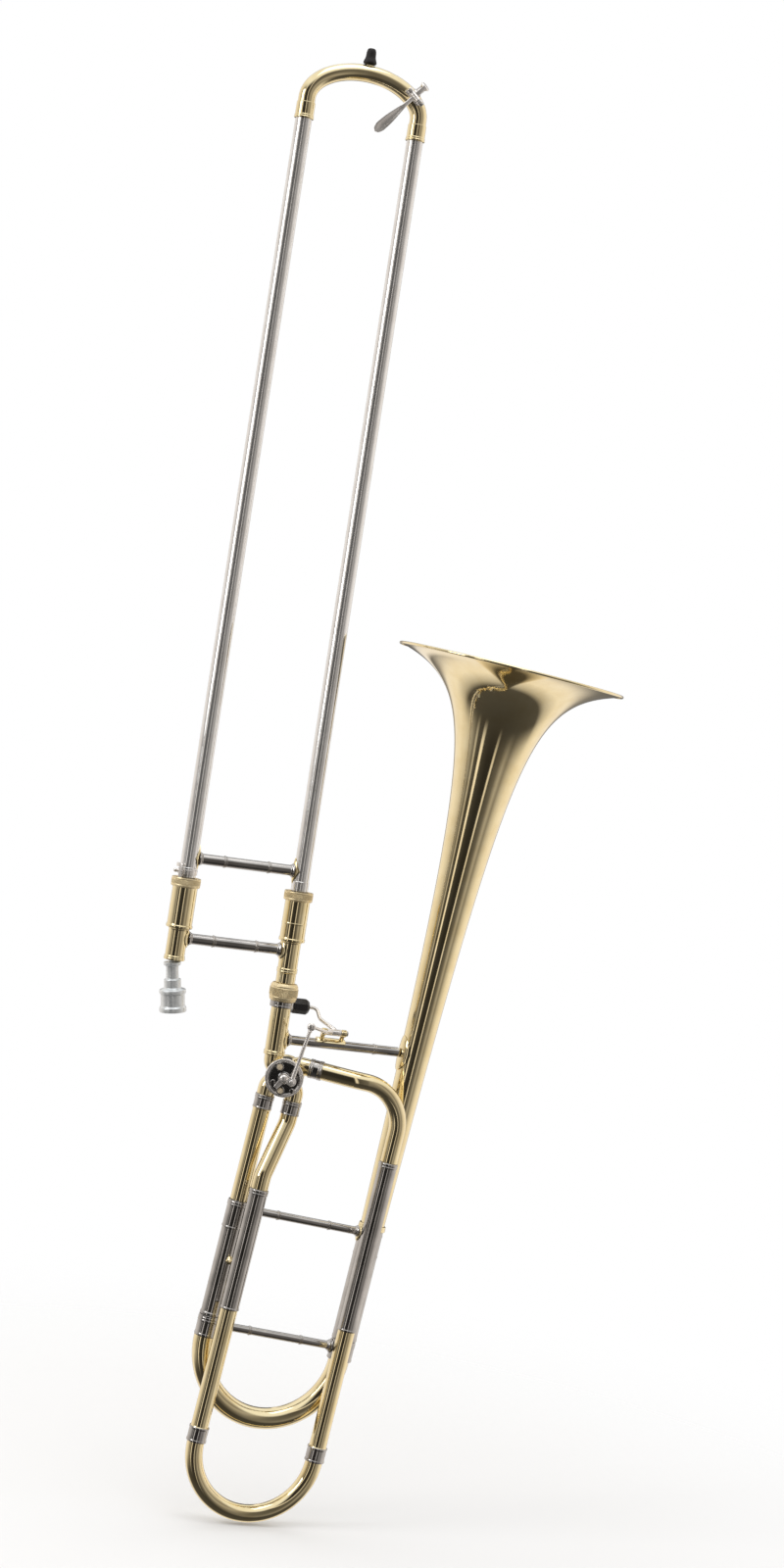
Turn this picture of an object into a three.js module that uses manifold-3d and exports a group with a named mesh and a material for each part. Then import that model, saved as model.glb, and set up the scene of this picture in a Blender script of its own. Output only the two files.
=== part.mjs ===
// Tenor trombone with an F attachment, all sizes in millimetres, +Z up.
// The origin is on the axis of the slide leg that joins the bell section, in the middle of the
// joint. The slide runs up +Z, the bell stands at +X, and the valve linkage faces -Y.
import * as THREE from 'three';
import { mergeVertices } from 'three/addons/utils/BufferGeometryUtils.js';
import Module from 'manifold-3d';

const wasm = await Module();
wasm.setup();

// ---- Driving dimensions ----
const GAP = 0.3; // clearance left between neighbouring solids
const SIDES = 16; // facets round a tube
const FINE_SIDES = 26; // facets round the bell
const ROD_SIDES = 12; // facets round a brace
const SMALL_SIDES = 10; // facets round small rods and pins
const BEND_STEPS = 5; // steps in a right-angle bend

const SLIDE_SPACING = 101.5; // between the two slide legs
const LEFT = -SLIDE_SPACING; // x of the mouthpiece leg
const RIGHT = 0; // x of the leg that joins the bell section
const OUTER_TUBE = { r: 7.2, bore: 6.75, bottom: 64.5, top: 754.8 };
const INNER_TUBE = { r: 6.4, bore: 5.9, bottom: 47, top: 738 };
const BARREL = { r: 10.9, bore: 9.9, bottom: 43, web: 53, top: 84 };
const RING = { r: 12.8, bottom: 78.5, top: 86.5 }; // rings on top of the barrels
const LOWER_TUBE = { r: 8.5, bore: 6.2, bottom: 15 };
const TENON = { r: 6.8, bore: 5.9, bottom: -34 };
const OUTER_BRACE_Z = 104;
const INNER_BRACE_Z = 34.5;
const BRACE_R = 4.6;

const CROOK = { r: 7.4, bore: 6.8, foot: 755.2, spring: 766, rise: 31 };
const CROOK_FERRULE = { r: 8.1, bore: 7.7, bottom: 747.7, top: 762 };
const BUMPER_HEIGHT = 13.8;

const NUT = { r: 12.35, bottom: -9.5, top: 6 };
const GOOSENECK = { r: 8.7, bore: 8.0, top: -15.3, bottom: -57 };

const JOIN = { x: 6, z: -74 }; // where the leaning frame of the bell section starts
const VALVE = { x: 6.5, turn: THREE.MathUtils.degToRad(-17), r: 16.6, bore: 14.6, half: 14 }; // rotor casing
const BELL_TILT = THREE.MathUtils.degToRad(5.6); // lean of the bell section from the slide
const BELL_X = 118.6; // bell axis from the start of the leaning frame
const BELL = { rimR: 101.6, rimZ: 392.7, tailZ: -116, wall: 0.6, start: 17, power: -0.66 };
const MAIN_X = -6.5; // long tube from the valve to the tuning slide
const MAIN_TUBE = { r: 7.7, bore: 7.1, top: -19, bottom: -113.2 };
const SLEEVE_BOTTOM = -31.2; // the nickel sleeves below the valve end here
const TUNING = { top: -113.5, end: -215.4, ferruleEnd: -233.7, bowZ: -234, inner: -130 };
const TUNING_BOW = { r: 9.2, bore: 8.6 };
const TUNING_BRACE_Z = -120;
const TUNING_SLIDE_BRACE_Z = -223;
const THIN_BRACE_R = 3.6;

const F_Y = -21; // plane of the F tubing, in front of the bell section
const F_LEFT_X = 2.8;
const F_RIGHT_X = 111.8;
const F_TUBE = { r: 7.6, bore: 7.0 };
const F_LEG = { r: 8.0, bore: 7.45, leftTop: -97, rightTop: -52.5, bottom: -203 };
const F_SLIDE = { inner: -110, brassEnd: -306, sleeveEnd: -319.6, bowZ: -320 };
const F_RETURN_X = 17.3;
const F_RETURN_Y = -6;
const F_OUTLET = { start: [14, 0, 11.8], turn: [66, F_Y, 11.8], corner: [F_RIGHT_X, F_Y, 11.8] };
const F_BEND_R = 37.5;

const BELL_BRACE = { z: -43, r: 4.1, from: 9.1, to: 112.7 };
const HINGE = { y: -8, z: -31, r: 2.9, bore: 1.35, from: 42.2, to: 54.8 }; // lever hinge, along X
const BALL = [21.8, -27, -25.4]; // ball that drives the linkage rod
const ARM_R = 7; // stop arm, from the rotor axis to its stud
const ARM_ANGLE = THREE.MathUtils.degToRad(-5);
const ROD_Y = -29.3; // plane of the linkage rod, in the stop arm's frame
const KEY = { turn: THREE.MathUtils.degToRad(36), y: -12, half: 1.2 }; // water key pivot on the crook

// ---- Materials ----
const finish = (color, roughness, metalness) => new THREE.MeshStandardMaterial({ color, roughness, metalness });
const lacqueredBrass = finish(0xc9a650, 0.18, 1);
const satinBrass = finish(0xcdaa63, 0.42, 1);
const nickelSilver = finish(0xb8b4aa, 0.16, 1);
const steel = finish(0x9a9a98, 0.3, 1);
const blackPlastic = finish(0x1b1b1f, 0.45, 0);
const blackRubber = finish(0x2a2728, 0.8, 0);
const greyPlastic = finish(0xb9bfc1, 0.55, 0);
const corkBumper = finish(0xd8cdb0, 0.85, 0);
const felt = finish(0x1f2e26, 0.95, 0);

// ---- Solids ----
function toSolid(geometry) {
  const bare = geometry.clone();
  bare.deleteAttribute('normal');
  bare.deleteAttribute('uv');
  const merged = mergeVertices(bare, 1e-4);
  const p = merged.attributes.position;
  const index = merged.index.array;
  const corners = [new THREE.Vector3(), new THREE.Vector3(), new THREE.Vector3()];
  const kept = [];
  let volume = 0;
  for (let i = 0; i < index.length; i += 3) {
    const t = [index[i], index[i + 1], index[i + 2]];
    if (t[0] === t[1] || t[1] === t[2] || t[0] === t[2]) continue;
    t.forEach((v, k) => corners[k].fromBufferAttribute(p, v));
    volume += corners[0].dot(corners[1].clone().cross(corners[2]));
    kept.push(t);
  }
  const facing = volume < 0 ? kept.map(([a, b, c]) => [a, c, b]) : kept;
  return new wasm.Manifold(
    new wasm.Mesh({
      numProp: 3,
      vertProperties: new Float32Array(p.array),
      triVerts: new Uint32Array(facing.flat()),
    })
  );
}

function toGeometry(solid) {
  const mesh = solid.getMesh();
  const geometry = new THREE.BufferGeometry();
  geometry.setAttribute('position', new THREE.BufferAttribute(new Float32Array(mesh.vertProperties), 3));
  geometry.setIndex(new THREE.BufferAttribute(new Uint32Array(mesh.triVerts), 1));
  geometry.computeVertexNormals();
  return geometry;
}

const join = (...solids) => solids.reduce((a, b) => a.add(b));
const cut = (solid, ...tools) => tools.reduce((a, b) => a.subtract(b), solid);

// A turned solid. The profile lists [radius, height]; it closes on itself or ends on the axis.
// The axis is Z through (x, y), or Y when alongY is true.
function turned(profile, { x = 0, y = 0, z = 0, sides = SIDES, alongY = false } = {}) {
  const points = profile.map(([r, h]) => new THREE.Vector2(r, h));
  const open = profile[0][0] === 0 && profile[profile.length - 1][0] === 0;
  if (!open) points.push(points[0].clone());
  const lathe = new THREE.LatheGeometry(points, sides);
  if (!alongY) lathe.rotateX(Math.PI / 2);
  return toSolid(lathe.translate(x, y, z));
}

const tube = (r, bore, from, to, place) => turned([[bore, from], [r, from], [r, to], [bore, to]], place);
const disc = (r, from, to, place) => turned([[0, from], [r, from], [r, to], [0, to]], place);

// A round rod between two points.
function rod(from, to, r, sides = SMALL_SIDES) {
  const a = new THREE.Vector3(...from);
  const b = new THREE.Vector3(...to);
  const length = a.distanceTo(b);
  const shape = new THREE.CylinderGeometry(r, r, length, sides);
  const turn = new THREE.Quaternion().setFromUnitVectors(
    new THREE.Vector3(0, 1, 0),
    b.clone().sub(a).normalize()
  );
  const middle = a.add(b).multiplyScalar(0.5);
  return toSolid(shape.applyQuaternion(turn).translate(middle.x, middle.y, middle.z));
}

// A rectangular bar in a plane of constant y, from one [x, z] point to another.
function bar([ax, az], [bx, bz], width, y0, y1) {
  const length = Math.hypot(bx - ax, bz - az);
  const shape = new THREE.BoxGeometry(length, y1 - y0, width);
  shape.rotateY(-Math.atan2(bz - az, bx - ax));
  return toSolid(shape.translate((ax + bx) / 2, (y0 + y1) / 2, (az + bz) / 2));
}

const box = (x, y, z, w, d, h) => toSolid(new THREE.BoxGeometry(w, d, h).translate(x, y, z));

// A path made of chosen stations, each with its own direction.
class Route extends THREE.Curve {
  constructor(stations) {
    super();
    this.stations = stations;
  }
  station(u) {
    return this.stations[Math.round(u * (this.stations.length - 1))];
  }
  getSpacedPoints() {
    return this.stations.map((s) => s.point.clone());
  }
  getPointAt(u) {
    return this.station(u).point.clone();
  }
  getTangentAt(u) {
    return this.station(u).tangent.clone();
  }
}

// Straight runs between corners, with a round bend of the given radius at each inner corner.
function bentRoute(corners, radii) {
  const points = corners.map((c) => new THREE.Vector3(...c));
  const stations = [];
  const add = (point, tangent) => {
    const last = stations[stations.length - 1];
    if (!last || last.point.distanceTo(point) > 0.05) stations.push({ point, tangent });
  };
  const direction = (i) => points[i + 1].clone().sub(points[i]).normalize();
  add(points[0], direction(0));
  for (let i = 1; i < points.length - 1; i++) {
    const before = direction(i - 1);
    const after = direction(i);
    const angle = before.angleTo(after);
    const radius = radii[i - 1];
    const start = points[i].clone().addScaledVector(before, -radius * Math.tan(angle / 2));
    const side = after.clone().addScaledVector(before, -after.dot(before)).normalize();
    const steps = Math.max(2, Math.round((angle / (Math.PI / 2)) * BEND_STEPS));
    for (let k = 0; k <= steps; k++) {
      const a = (angle * k) / steps;
      const point = start.clone().addScaledVector(before, radius * Math.sin(a));
      point.addScaledVector(side, radius * (1 - Math.cos(a)));
      const tangent = before.clone().multiplyScalar(Math.cos(a)).addScaledVector(side, Math.sin(a));
      add(point, tangent);
    }
  }
  add(points[points.length - 1], direction(points.length - 2));
  return new Route(stations);
}

function circlePoints(r, sides) {
  const points = [];
  for (let i = 0; i < sides; i++) {
    const a = (2 * Math.PI * i) / sides;
    points.push(new THREE.Vector2(r * Math.cos(a), r * Math.sin(a)));
  }
  return points;
}

// A round bar or, with a bore, a pipe along a route.
function swept(route, r, bore = 0, sides = SIDES) {
  const section = new THREE.Shape(circlePoints(r, sides));
  if (bore > 0) section.holes.push(new THREE.Path(circlePoints(bore, sides).reverse()));
  const steps = route.stations.length - 1;
  return toSolid(new THREE.ExtrudeGeometry(section, { steps, extrudePath: route }));
}

// The same corners with both ends moved out by a millimetre, so that a bore cuts right through.
function overrun(corners) {
  const outwards = (end, next) => {
    const a = new THREE.Vector3(...end);
    return a.addScaledVector(a.clone().sub(new THREE.Vector3(...next)).normalize(), 1).toArray();
  };
  const last = corners.length - 1;
  return [outwards(corners[0], corners[1]), ...corners.slice(1, -1), outwards(corners[last], corners[last - 1])];
}

// A pipe along bent corners, with more solids joined to it before the bore is cut through.
function pipe(corners, radii, r, bore, ...extras) {
  const outside = join(swept(bentRoute(corners, radii), r), ...extras);
  return cut(outside, swept(bentRoute(overrun(corners), radii), bore));
}

// A curved plate soldered to a tube that stands along Z at (x, 0), facing side (+1 or -1) in x.
function saddle(x, z, tubeR, side, padR, thick = 1.3) {
  const inner = tubeR + GAP;
  const shell = tube(inner + thick, inner, z - padR, z + padR, { x });
  return shell.intersect(rod([x, 0, z], [x + side * (inner + thick + 1), 0, z], padR, ROD_SIDES));
}

// A brace rod along X with a saddle at each end and beads at a quarter and three quarters.
function brace(left, right, z, r, padR) {
  const from = left.x + left.r + GAP;
  const to = right.x - right.r - GAP;
  const bead = r + 0.5;
  const beads = [0.27, 0.73].map((f) => {
    const x = from + f * (to - from);
    return rod([x - 1, 0, z], [x + 1, 0, z], bead, ROD_SIDES);
  });
  return join(
    rod([from + 0.4, 0, z], [to - 0.4, 0, z], r, ROD_SIDES),
    saddle(left.x, z, left.r, 1, padR),
    saddle(right.x, z, right.r, -1, padR),
    ...beads
  );
}

// ---- Groups ----
const trombone = new THREE.Group();
const bellFrame = new THREE.Group(); // leans with the bell
bellFrame.position.set(JOIN.x, 0, JOIN.z);
bellFrame.rotation.y = BELL_TILT;
trombone.add(bellFrame);
const valveFrame = new THREE.Group(); // origin in the middle of the rotor, Y along its axis
valveFrame.position.x = VALVE.x;
valveFrame.rotation.z = VALVE.turn;
bellFrame.add(valveFrame);
const armFrame = new THREE.Group(); // the same axis, without the lean
armFrame.rotation.y = -BELL_TILT;
valveFrame.add(armFrame);
trombone.updateMatrixWorld(true);

// A point of one group in the measures of another.
const between = (from, to) => (x, y, z) => to.worldToLocal(from.localToWorld(new THREE.Vector3(x, y, z))).toArray();

function part(name, solid, material, group = trombone) {
  const mesh = new THREE.Mesh(toGeometry(solid), material);
  mesh.name = name;
  group.add(mesh);
}

// ---- Inner slide: fixed legs, barrels and the tenon that enters the bell section ----
for (const [side, x] of [['left', LEFT], ['right', RIGHT]]) {
  part(`inner_tube_${side}`, tube(INNER_TUBE.r, INNER_TUBE.bore, INNER_TUBE.bottom, INNER_TUBE.top, { x }),
    nickelSilver);
  const cork = { from: BARREL.web + GAP, to: OUTER_TUBE.bottom - 0.5 };
  part(`slide_bumper_${side}`, tube(BARREL.bore - GAP, INNER_TUBE.r + GAP, cork.from, cork.to, { x }), felt);
}

function barrel(topRadius, ringBottom) {
  return [
    [INNER_TUBE.r + GAP, BARREL.bottom], [BARREL.r + 0.5, BARREL.bottom], [BARREL.r + 0.5, BARREL.bottom + 2],
    [BARREL.r, BARREL.bottom + 2.4], [BARREL.r, ringBottom], [topRadius, ringBottom + 0.01],
    [topRadius, BARREL.top], [BARREL.bore, BARREL.top], [BARREL.bore, BARREL.web],
    [INNER_TUBE.r + GAP, BARREL.web],
  ];
}

part('cork_barrel_left', turned(barrel(BARREL.r - 0.01, RING.bottom), { x: LEFT }), lacqueredBrass);
const ringProfile = [
  [BARREL.r + GAP, RING.bottom], [RING.r - 0.8, RING.bottom], [RING.r, RING.bottom + 0.8],
  [RING.r, RING.top - 0.6], [RING.r - 0.6, RING.top], [BARREL.bore, RING.top],
  [BARREL.bore, BARREL.top + GAP], [BARREL.r + GAP, BARREL.top + GAP],
];
part('cork_barrel_right', turned(barrel(BARREL.r - 0.01, RING.bottom), { x: RIGHT }), lacqueredBrass);
part('barrel_ring_right', turned(ringProfile, { x: RIGHT }), satinBrass);

// The slide lock: a ring that turns on the left barrel, with a hooked arm beside the slide tube.
const HOOK = { r: 11.3, bore: 9.7, top: 99, tabZ: 95.6, from: 192, side: 214, to: 232 };
function sector(r, bore, z0, z1, fromDeg, toDeg) {
  const points = [];
  const steps = 5;
  for (let i = 0; i <= steps; i++) {
    const a = THREE.MathUtils.degToRad(fromDeg + ((toDeg - fromDeg) * i) / steps);
    points.push(new THREE.Vector2(r * Math.cos(a), r * Math.sin(a)));
  }
  for (let i = steps; i >= 0; i--) {
    const a = THREE.MathUtils.degToRad(fromDeg + ((toDeg - fromDeg) * i) / steps);
    points.push(new THREE.Vector2(bore * Math.cos(a), bore * Math.sin(a)));
  }
  const plate = new THREE.ExtrudeGeometry(new THREE.Shape(points), { depth: z1 - z0, bevelEnabled: false });
  return toSolid(plate.translate(LEFT, 0, z0));
}
part(
  'slide_lock_ring',
  join(
    turned(ringProfile, { x: LEFT }),
    sector(HOOK.r, HOOK.bore + 0.4, RING.top - 1, HOOK.top, HOOK.side, HOOK.to),
    sector(HOOK.r, HOOK.bore + 0.4, HOOK.tabZ, HOOK.top, HOOK.from, HOOK.to)
  ),
  satinBrass
);

part(
  'mouthpiece_receiver',
  turned([
    [LOWER_TUBE.bore, LOWER_TUBE.bottom], [9.2, LOWER_TUBE.bottom], [9.2, LOWER_TUBE.bottom + 2],
    [LOWER_TUBE.r, LOWER_TUBE.bottom + 2.4], [LOWER_TUBE.r, BARREL.bottom - GAP],
    [LOWER_TUBE.bore, BARREL.bottom - GAP],
  ], { x: LEFT }),
  lacqueredBrass
);

part(
  'slide_tenon',
  turned([
    [TENON.bore, TENON.bottom], [TENON.r, TENON.bottom], [TENON.r, 0.3], [8.9, 0.3], [8.9, 1.8],
    [TENON.r, 1.8], [TENON.r, NUT.top + GAP], [LOWER_TUBE.r, NUT.top + GAP], [LOWER_TUBE.r, 15.6],
    [9.1, 15.8], [9.1, 19], [LOWER_TUBE.r, 19.2], [LOWER_TUBE.r, BARREL.bottom - GAP],
    [TENON.bore, BARREL.bottom - GAP],
  ]),
  lacqueredBrass
);

part(
  'inner_brace',
  brace({ x: LEFT, r: LOWER_TUBE.r }, { x: RIGHT, r: LOWER_TUBE.r }, INNER_BRACE_Z, BRACE_R, 7.4),
  nickelSilver
);

part(
  'bell_lock_nut',
  turned([
    [10.1, NUT.bottom], [NUT.r - 1.2, NUT.bottom], [NUT.r, NUT.bottom + 1.4], [NUT.r, NUT.top - 1.8],
    [NUT.r - 1.8, NUT.top], [TENON.r + GAP, NUT.top], [TENON.r + GAP, 2.1], [10.1, 2.1],
  ]),
  satinBrass
);

// ---- Plug in the mouthpiece receiver: it hangs a little out of line ----
const plugFrame = new THREE.Group();
plugFrame.position.set(LEFT - 1.6, 0, LOWER_TUBE.bottom); // the plug hangs a little askew
plugFrame.rotation.y = THREE.MathUtils.degToRad(-9.7);
trombone.add(plugFrame);
part(
  'receiver_plug',
  turned([
    [0, 7.5], [2.5, 7.5], [3, 6.5], [3, -1.8], [7.4, -1.8], [7.4, -4.8], [5.5, -5], [5.5, -16.9], [7.4, -17],
    [7.4, -24.4], [11.5, -26], [11.5, -29.2], [10.4, -29.6], [10.4, -40.2], [11.7, -41.2], [11.7, -45.2],
    [9.4, -45.2], [9.4, -30.4], [0, -30.4],
  ]),
  greyPlastic,
  plugFrame
);

// ---- Outer slide ----
for (const [side, x] of [['left', LEFT], ['right', RIGHT]]) {
  part(`outer_tube_${side}`, tube(OUTER_TUBE.r, OUTER_TUBE.bore, OUTER_TUBE.bottom, OUTER_TUBE.top, { x }),
    nickelSilver);
  const f = CROOK_FERRULE;
  part(`crook_ferrule_${side}`, turned([
    [f.bore, f.bottom], [f.r + 0.4, f.bottom], [f.r + 0.4, f.bottom + 1.6], [f.r, f.bottom + 2],
    [f.r, f.top], [f.bore, f.top],
  ], { x }), lacqueredBrass);
}
part(
  'outer_brace',
  brace({ x: LEFT, r: OUTER_TUBE.r }, { x: RIGHT, r: OUTER_TUBE.r }, OUTER_BRACE_Z, BRACE_R, 9),
  nickelSilver
);
part(
  'slide_lock_catch',
  join(
    tube(OUTER_TUBE.r + GAP + 1, OUTER_TUBE.r + GAP, 89.4, 93.8, { x: LEFT }),
    rod([LEFT - 8, 0, 91.8], [LEFT - 11.2, 0, 91.8], 1.4)
  ),
  nickelSilver
);

// The crook rises from the ferrules and crosses over as half an ellipse.
const CROOK_MIDDLE = (LEFT + RIGHT) / 2;
const CROOK_TOP = CROOK.spring + CROOK.rise + CROOK.r;
function crookRoute() {
  const up = new THREE.Vector3(0, 0, 1);
  const stations = [{ point: new THREE.Vector3(LEFT, 0, CROOK.foot), tangent: up }];
  const half = SLIDE_SPACING / 2;
  const steps = 14;
  for (let i = 0; i <= steps; i++) {
    const a = Math.PI * (1 - i / steps);
    stations.push({
      point: new THREE.Vector3(CROOK_MIDDLE + half * Math.cos(a), 0, CROOK.spring + CROOK.rise * Math.sin(a)),
      tangent: new THREE.Vector3(half * Math.sin(a), 0, -CROOK.rise * Math.cos(a)).normalize(),
    });
  }
  stations.push({ point: new THREE.Vector3(RIGHT, 0, CROOK.foot), tangent: up.clone().negate() });
  return new Route(stations);
}
// The water key has its own frame on the crook's shoulder: x along its hinge, which lies along
// the tube, z towards the finger spoon, and the tube's centre KEY.y behind the hinge.
const keyFoot = new THREE.Vector3(
  CROOK_MIDDLE + (SLIDE_SPACING / 2) * Math.cos(KEY.turn),
  KEY.y,
  CROOK.spring + CROOK.rise * Math.sin(KEY.turn)
);
const keyFrame = new THREE.Group();
keyFrame.position.copy(keyFoot);
keyFrame.rotation.y = Math.atan2(-CROOK.rise * Math.cos(KEY.turn), (-SLIDE_SPACING / 2) * Math.sin(KEY.turn));
keyFrame.updateMatrix();
trombone.add(keyFrame);

// The drain nipple leans 30 degrees forward; drain(s) is a point s along it from the tube's centre.
const NIPPLE = { r: 2.9, bore: 1.6, tip: 13.5, lean: THREE.MathUtils.degToRad(30) };
const drain = (s) => [0, -KEY.y - s * Math.sin(NIPPLE.lean), -s * Math.cos(NIPPLE.lean)];
const inWorld = (point) => new THREE.Vector3(...point).applyMatrix4(keyFrame.matrix).toArray();
part(
  'slide_crook',
  cut(
    join(
      swept(crookRoute(), CROOK.r),
      rod(inWorld(drain(5)), inWorld(drain(NIPPLE.tip)), NIPPLE.r),
      disc(3.4, CROOK_TOP - 4, CROOK_TOP + 0.5, { x: CROOK_MIDDLE, sides: SMALL_SIDES })
    ),
    swept(crookRoute(), CROOK.bore),
    rod(inWorld(drain(2)), inWorld(drain(NIPPLE.tip + 1)), NIPPLE.bore)
  ),
  lacqueredBrass
);
const BUMPER_Z = CROOK_TOP + 0.5 + GAP;
part(
  'crook_bumper',
  turned([
    [0, 0], [4.9, 0], [5.8, 1.6], [5.6, 3.4], [4.6, 5.6], [4.4, 10.4], [3, BUMPER_HEIGHT], [0, BUMPER_HEIGHT],
  ], { x: CROOK_MIDDLE, z: BUMPER_Z }),
  blackRubber
);

// Saddle on the crook, its pin, and the key that rocks on it.
const keyRod = (r, x0, x1) => rod([x0, 0, 0], [x1, 0, 0], r);
const CHEEK = { in: 5.2, out: 8.2, r: 2.6 };
part(
  'water_key_saddle',
  cut(
    join(
      box(0, -KEY.y - OUTER_TUBE.r - 1.25, 0, 2 * CHEEK.out, 1.5, 6),
      ...[-1, 1].flatMap((side) => [
        keyRod(CHEEK.r, side * CHEEK.in, side * CHEEK.out),
        box((side * (CHEEK.in + CHEEK.out)) / 2, 1.6, 0, CHEEK.out - CHEEK.in, 3.2, 4.4),
      ])
    ),
    keyRod(1.35, -10, 10)
  ),
  nickelSilver,
  keyFrame
);
part('water_key_pin', join(keyRod(1.05, -9.5, 8.4), keyRod(2.2, -10.4, -8.6)), steel, keyFrame);

// Finger spoon: a teardrop that widens from the neck, drawn with its length along z.
const SPOON = { from: 12, to: 48, neck: 1.6, half: 4.1 };
function spoon() {
  const { from, to, neck, half } = SPOON;
  const outline = new THREE.Shape();
  const length = to - from;
  outline.moveTo(-neck, -from);
  outline.bezierCurveTo(-neck, -from - 0.4 * length, -half, -from - 0.4 * length, -half, -from - 0.72 * length);
  outline.bezierCurveTo(-half, -to, half, -to, half, -from - 0.72 * length);
  outline.bezierCurveTo(half, -from - 0.4 * length, neck, -from - 0.4 * length, neck, -from);
  const plate = new THREE.ExtrudeGeometry(outline, { depth: 1.6, bevelEnabled: false, curveSegments: 4 });
  return toSolid(plate.rotateX(-Math.PI / 2).translate(0, -KEY.half, 0));
}
part(
  'water_key',
  cut(
    join(
      keyRod(2.3, -4.8, 4.8),
      box(0, 0, 0.4, 3.4, 2 * KEY.half, 27.2),
      rod(drain(15.4), drain(17), 4.6, SIDES),
      spoon()
    ),
    keyRod(1.35, -6, 6)
  ),
  nickelSilver,
  keyFrame
);
part('water_key_cork', rod(drain(NIPPLE.tip + 0.3), drain(15.1), 3.3), corkBumper, keyFrame);

// ---- Joint to the bell section and gooseneck ----
part(
  'slide_receiver',
  turned([
    [7.2, -15], [10.4, -15], [10.4, NUT.bottom - GAP], [9.75, NUT.bottom - GAP + 0.1], [9.75, 0], [7.2, 0],
  ]),
  nickelSilver
);
part(
  'gooseneck',
  turned([
    [GOOSENECK.bore, GOOSENECK.bottom], [9.4, GOOSENECK.bottom], [9.4, GOOSENECK.bottom + 3.6],
    [GOOSENECK.r, GOOSENECK.bottom + 3.8], [GOOSENECK.r, GOOSENECK.top], [GOOSENECK.bore, GOOSENECK.top],
  ]),
  lacqueredBrass
);

// ---- Rotor valve ----
// Each port is a short bent pipe brazed into the casing, given by its centre line from the rotor outwards.
const rowToValve = between(trombone, valveFrame);
const bellToValve = between(bellFrame, valveFrame);
const outletStart = new THREE.Vector3(...F_OUTLET.start);
const outletWay = new THREE.Vector3(...F_OUTLET.turn).sub(outletStart).normalize();
const outletAt = (s) => outletStart.clone().addScaledVector(outletWay, s).toArray();
const PORT_END = 12; // how far the outlet port runs past its bend
const PORTS = [
  {
    corners: [[-4.5, 0, 2.5], rowToValve(RIGHT, 0, -64.3), rowToValve(RIGHT, 0, GOOSENECK.bottom - GAP)],
    r: 8.1,
    radii: [9],
  },
  {
    corners: [[-4.5, 0, -1.5], bellToValve(MAIN_X, 0, -9.5), bellToValve(MAIN_X, 0, MAIN_TUBE.top + GAP)],
    r: 7.8,
    radii: [9],
  },
  {
    corners: [
      [3, 0, -2], bellToValve(F_RETURN_X, F_RETURN_Y, -10.5),
      bellToValve(F_RETURN_X, F_RETURN_Y, MAIN_TUBE.top + GAP),
    ],
    r: 7.6,
    radii: [9],
  },
  { corners: [[2, 0, 2], bellToValve(...F_OUTLET.start), bellToValve(...outletAt(PORT_END))], r: 7.6, radii: [9] },
];
const PORT_WALL = 0.9;
const yCylinder = (r, y0, y1, sides = FINE_SIDES) => disc(r, y0, y1, { sides, alongY: true });
const casingPorts = PORTS.map((p) => swept(bentRoute(p.corners, p.radii), p.r));
const casingBores = PORTS.map((p) => swept(bentRoute(overrun(p.corners), p.radii), p.r - PORT_WALL));
part(
  'rotor_casing',
  cut(
    join(yCylinder(VALVE.r, -VALVE.half, VALVE.half), ...casingPorts),
    yCylinder(VALVE.bore, -VALVE.half + 3, VALVE.half + 1),
    ...casingBores,
    yCylinder(3.4, -VALVE.half - 1, 0, SIDES)
  ),
  lacqueredBrass,
  valveFrame
);
part(
  'rotor_bearing_plate',
  cut(yCylinder(VALVE.bore - GAP, 10.9, 13.3), yCylinder(3.2, 10, 14, SIDES)),
  satinBrass,
  valveFrame
);
part(
  'rotor_rear_cap',
  turned([[0, 14.3], [16.9, 14.3], [16.9, 16.6], [15.8, 17.6], [0, 17.6]], { sides: FINE_SIDES, alongY: true }),
  satinBrass,
  valveFrame
);

// The rotor has a channel for the straight path and one for the F tubing.
const channel = (corners, r) => swept(bentRoute(corners, [30]), r);
part(
  'rotor',
  cut(
    join(yCylinder(14.2, -10.7, 10.6), yCylinder(2.6, -22, 13.2, SIDES)),
    channel([[-7.6, 0, 17], [-5.8, 0, 0], [-6.6, 0, -17]], 6.2),
    channel([[14.5, 0, 14], [9.8, 0, 0], [14.5, 0, -14]], 5.8)
  ),
  steel,
  valveFrame
);

part(
  'stop_plate',
  cut(
    join(
      yCylinder(15.8, -15.8, -14.3),
      disc(1.9, -17.2, -15.7, { x: -8.6, z: -5.4, sides: SMALL_SIDES, alongY: true }),
      disc(1.9, -17.2, -15.7, { x: 9.2, z: -9.2, sides: SMALL_SIDES, alongY: true })
    ),
    yCylinder(3.6, -17, -13, SIDES)
  ),
  nickelSilver,
  valveFrame
);
for (const [name, x, z] of [['upper', -5.8, 8.7], ['lower', -0.6, -11]]) {
  part(`stop_bumper_${name}`, disc(2.5, -18.9, -16.1, { x, z, sides: SMALL_SIDES, alongY: true }),
    corkBumper, valveFrame);
}

// Stop arm on the rotor's spindle, drawn from the rotor axis.
const studX = ARM_R * Math.cos(ARM_ANGLE);
const studZ = ARM_R * Math.sin(ARM_ANGLE);
const stud = (r, y0, y1) => disc(r, y0, y1, { x: studX, z: studZ, sides: SMALL_SIDES, alongY: true });
const hub = (r, y0, y1) => disc(r, y0, y1, { alongY: true });
const TAIL_ANGLE = THREE.MathUtils.degToRad(235);
const tailEnd = [11 * Math.cos(TAIL_ANGLE), 11 * Math.sin(TAIL_ANGLE)];
part(
  'stop_arm',
  cut(
    join(
      hub(4.6, -21.2, -17.4),
      bar([0, 0], [studX, studZ], 5.2, -21.2, -19.2),
      stud(2.9, -21.2, -19.2),
      stud(2.0, ROD_Y - 2.2, -20),
      stud(3.0, ROD_Y - 3, ROD_Y - 1.7),
      bar([0, 0], tailEnd, 4, -20, -17.6)
    ),
    hub(2.9, -24, -16)
  ),
  nickelSilver,
  armFrame
);

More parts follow.
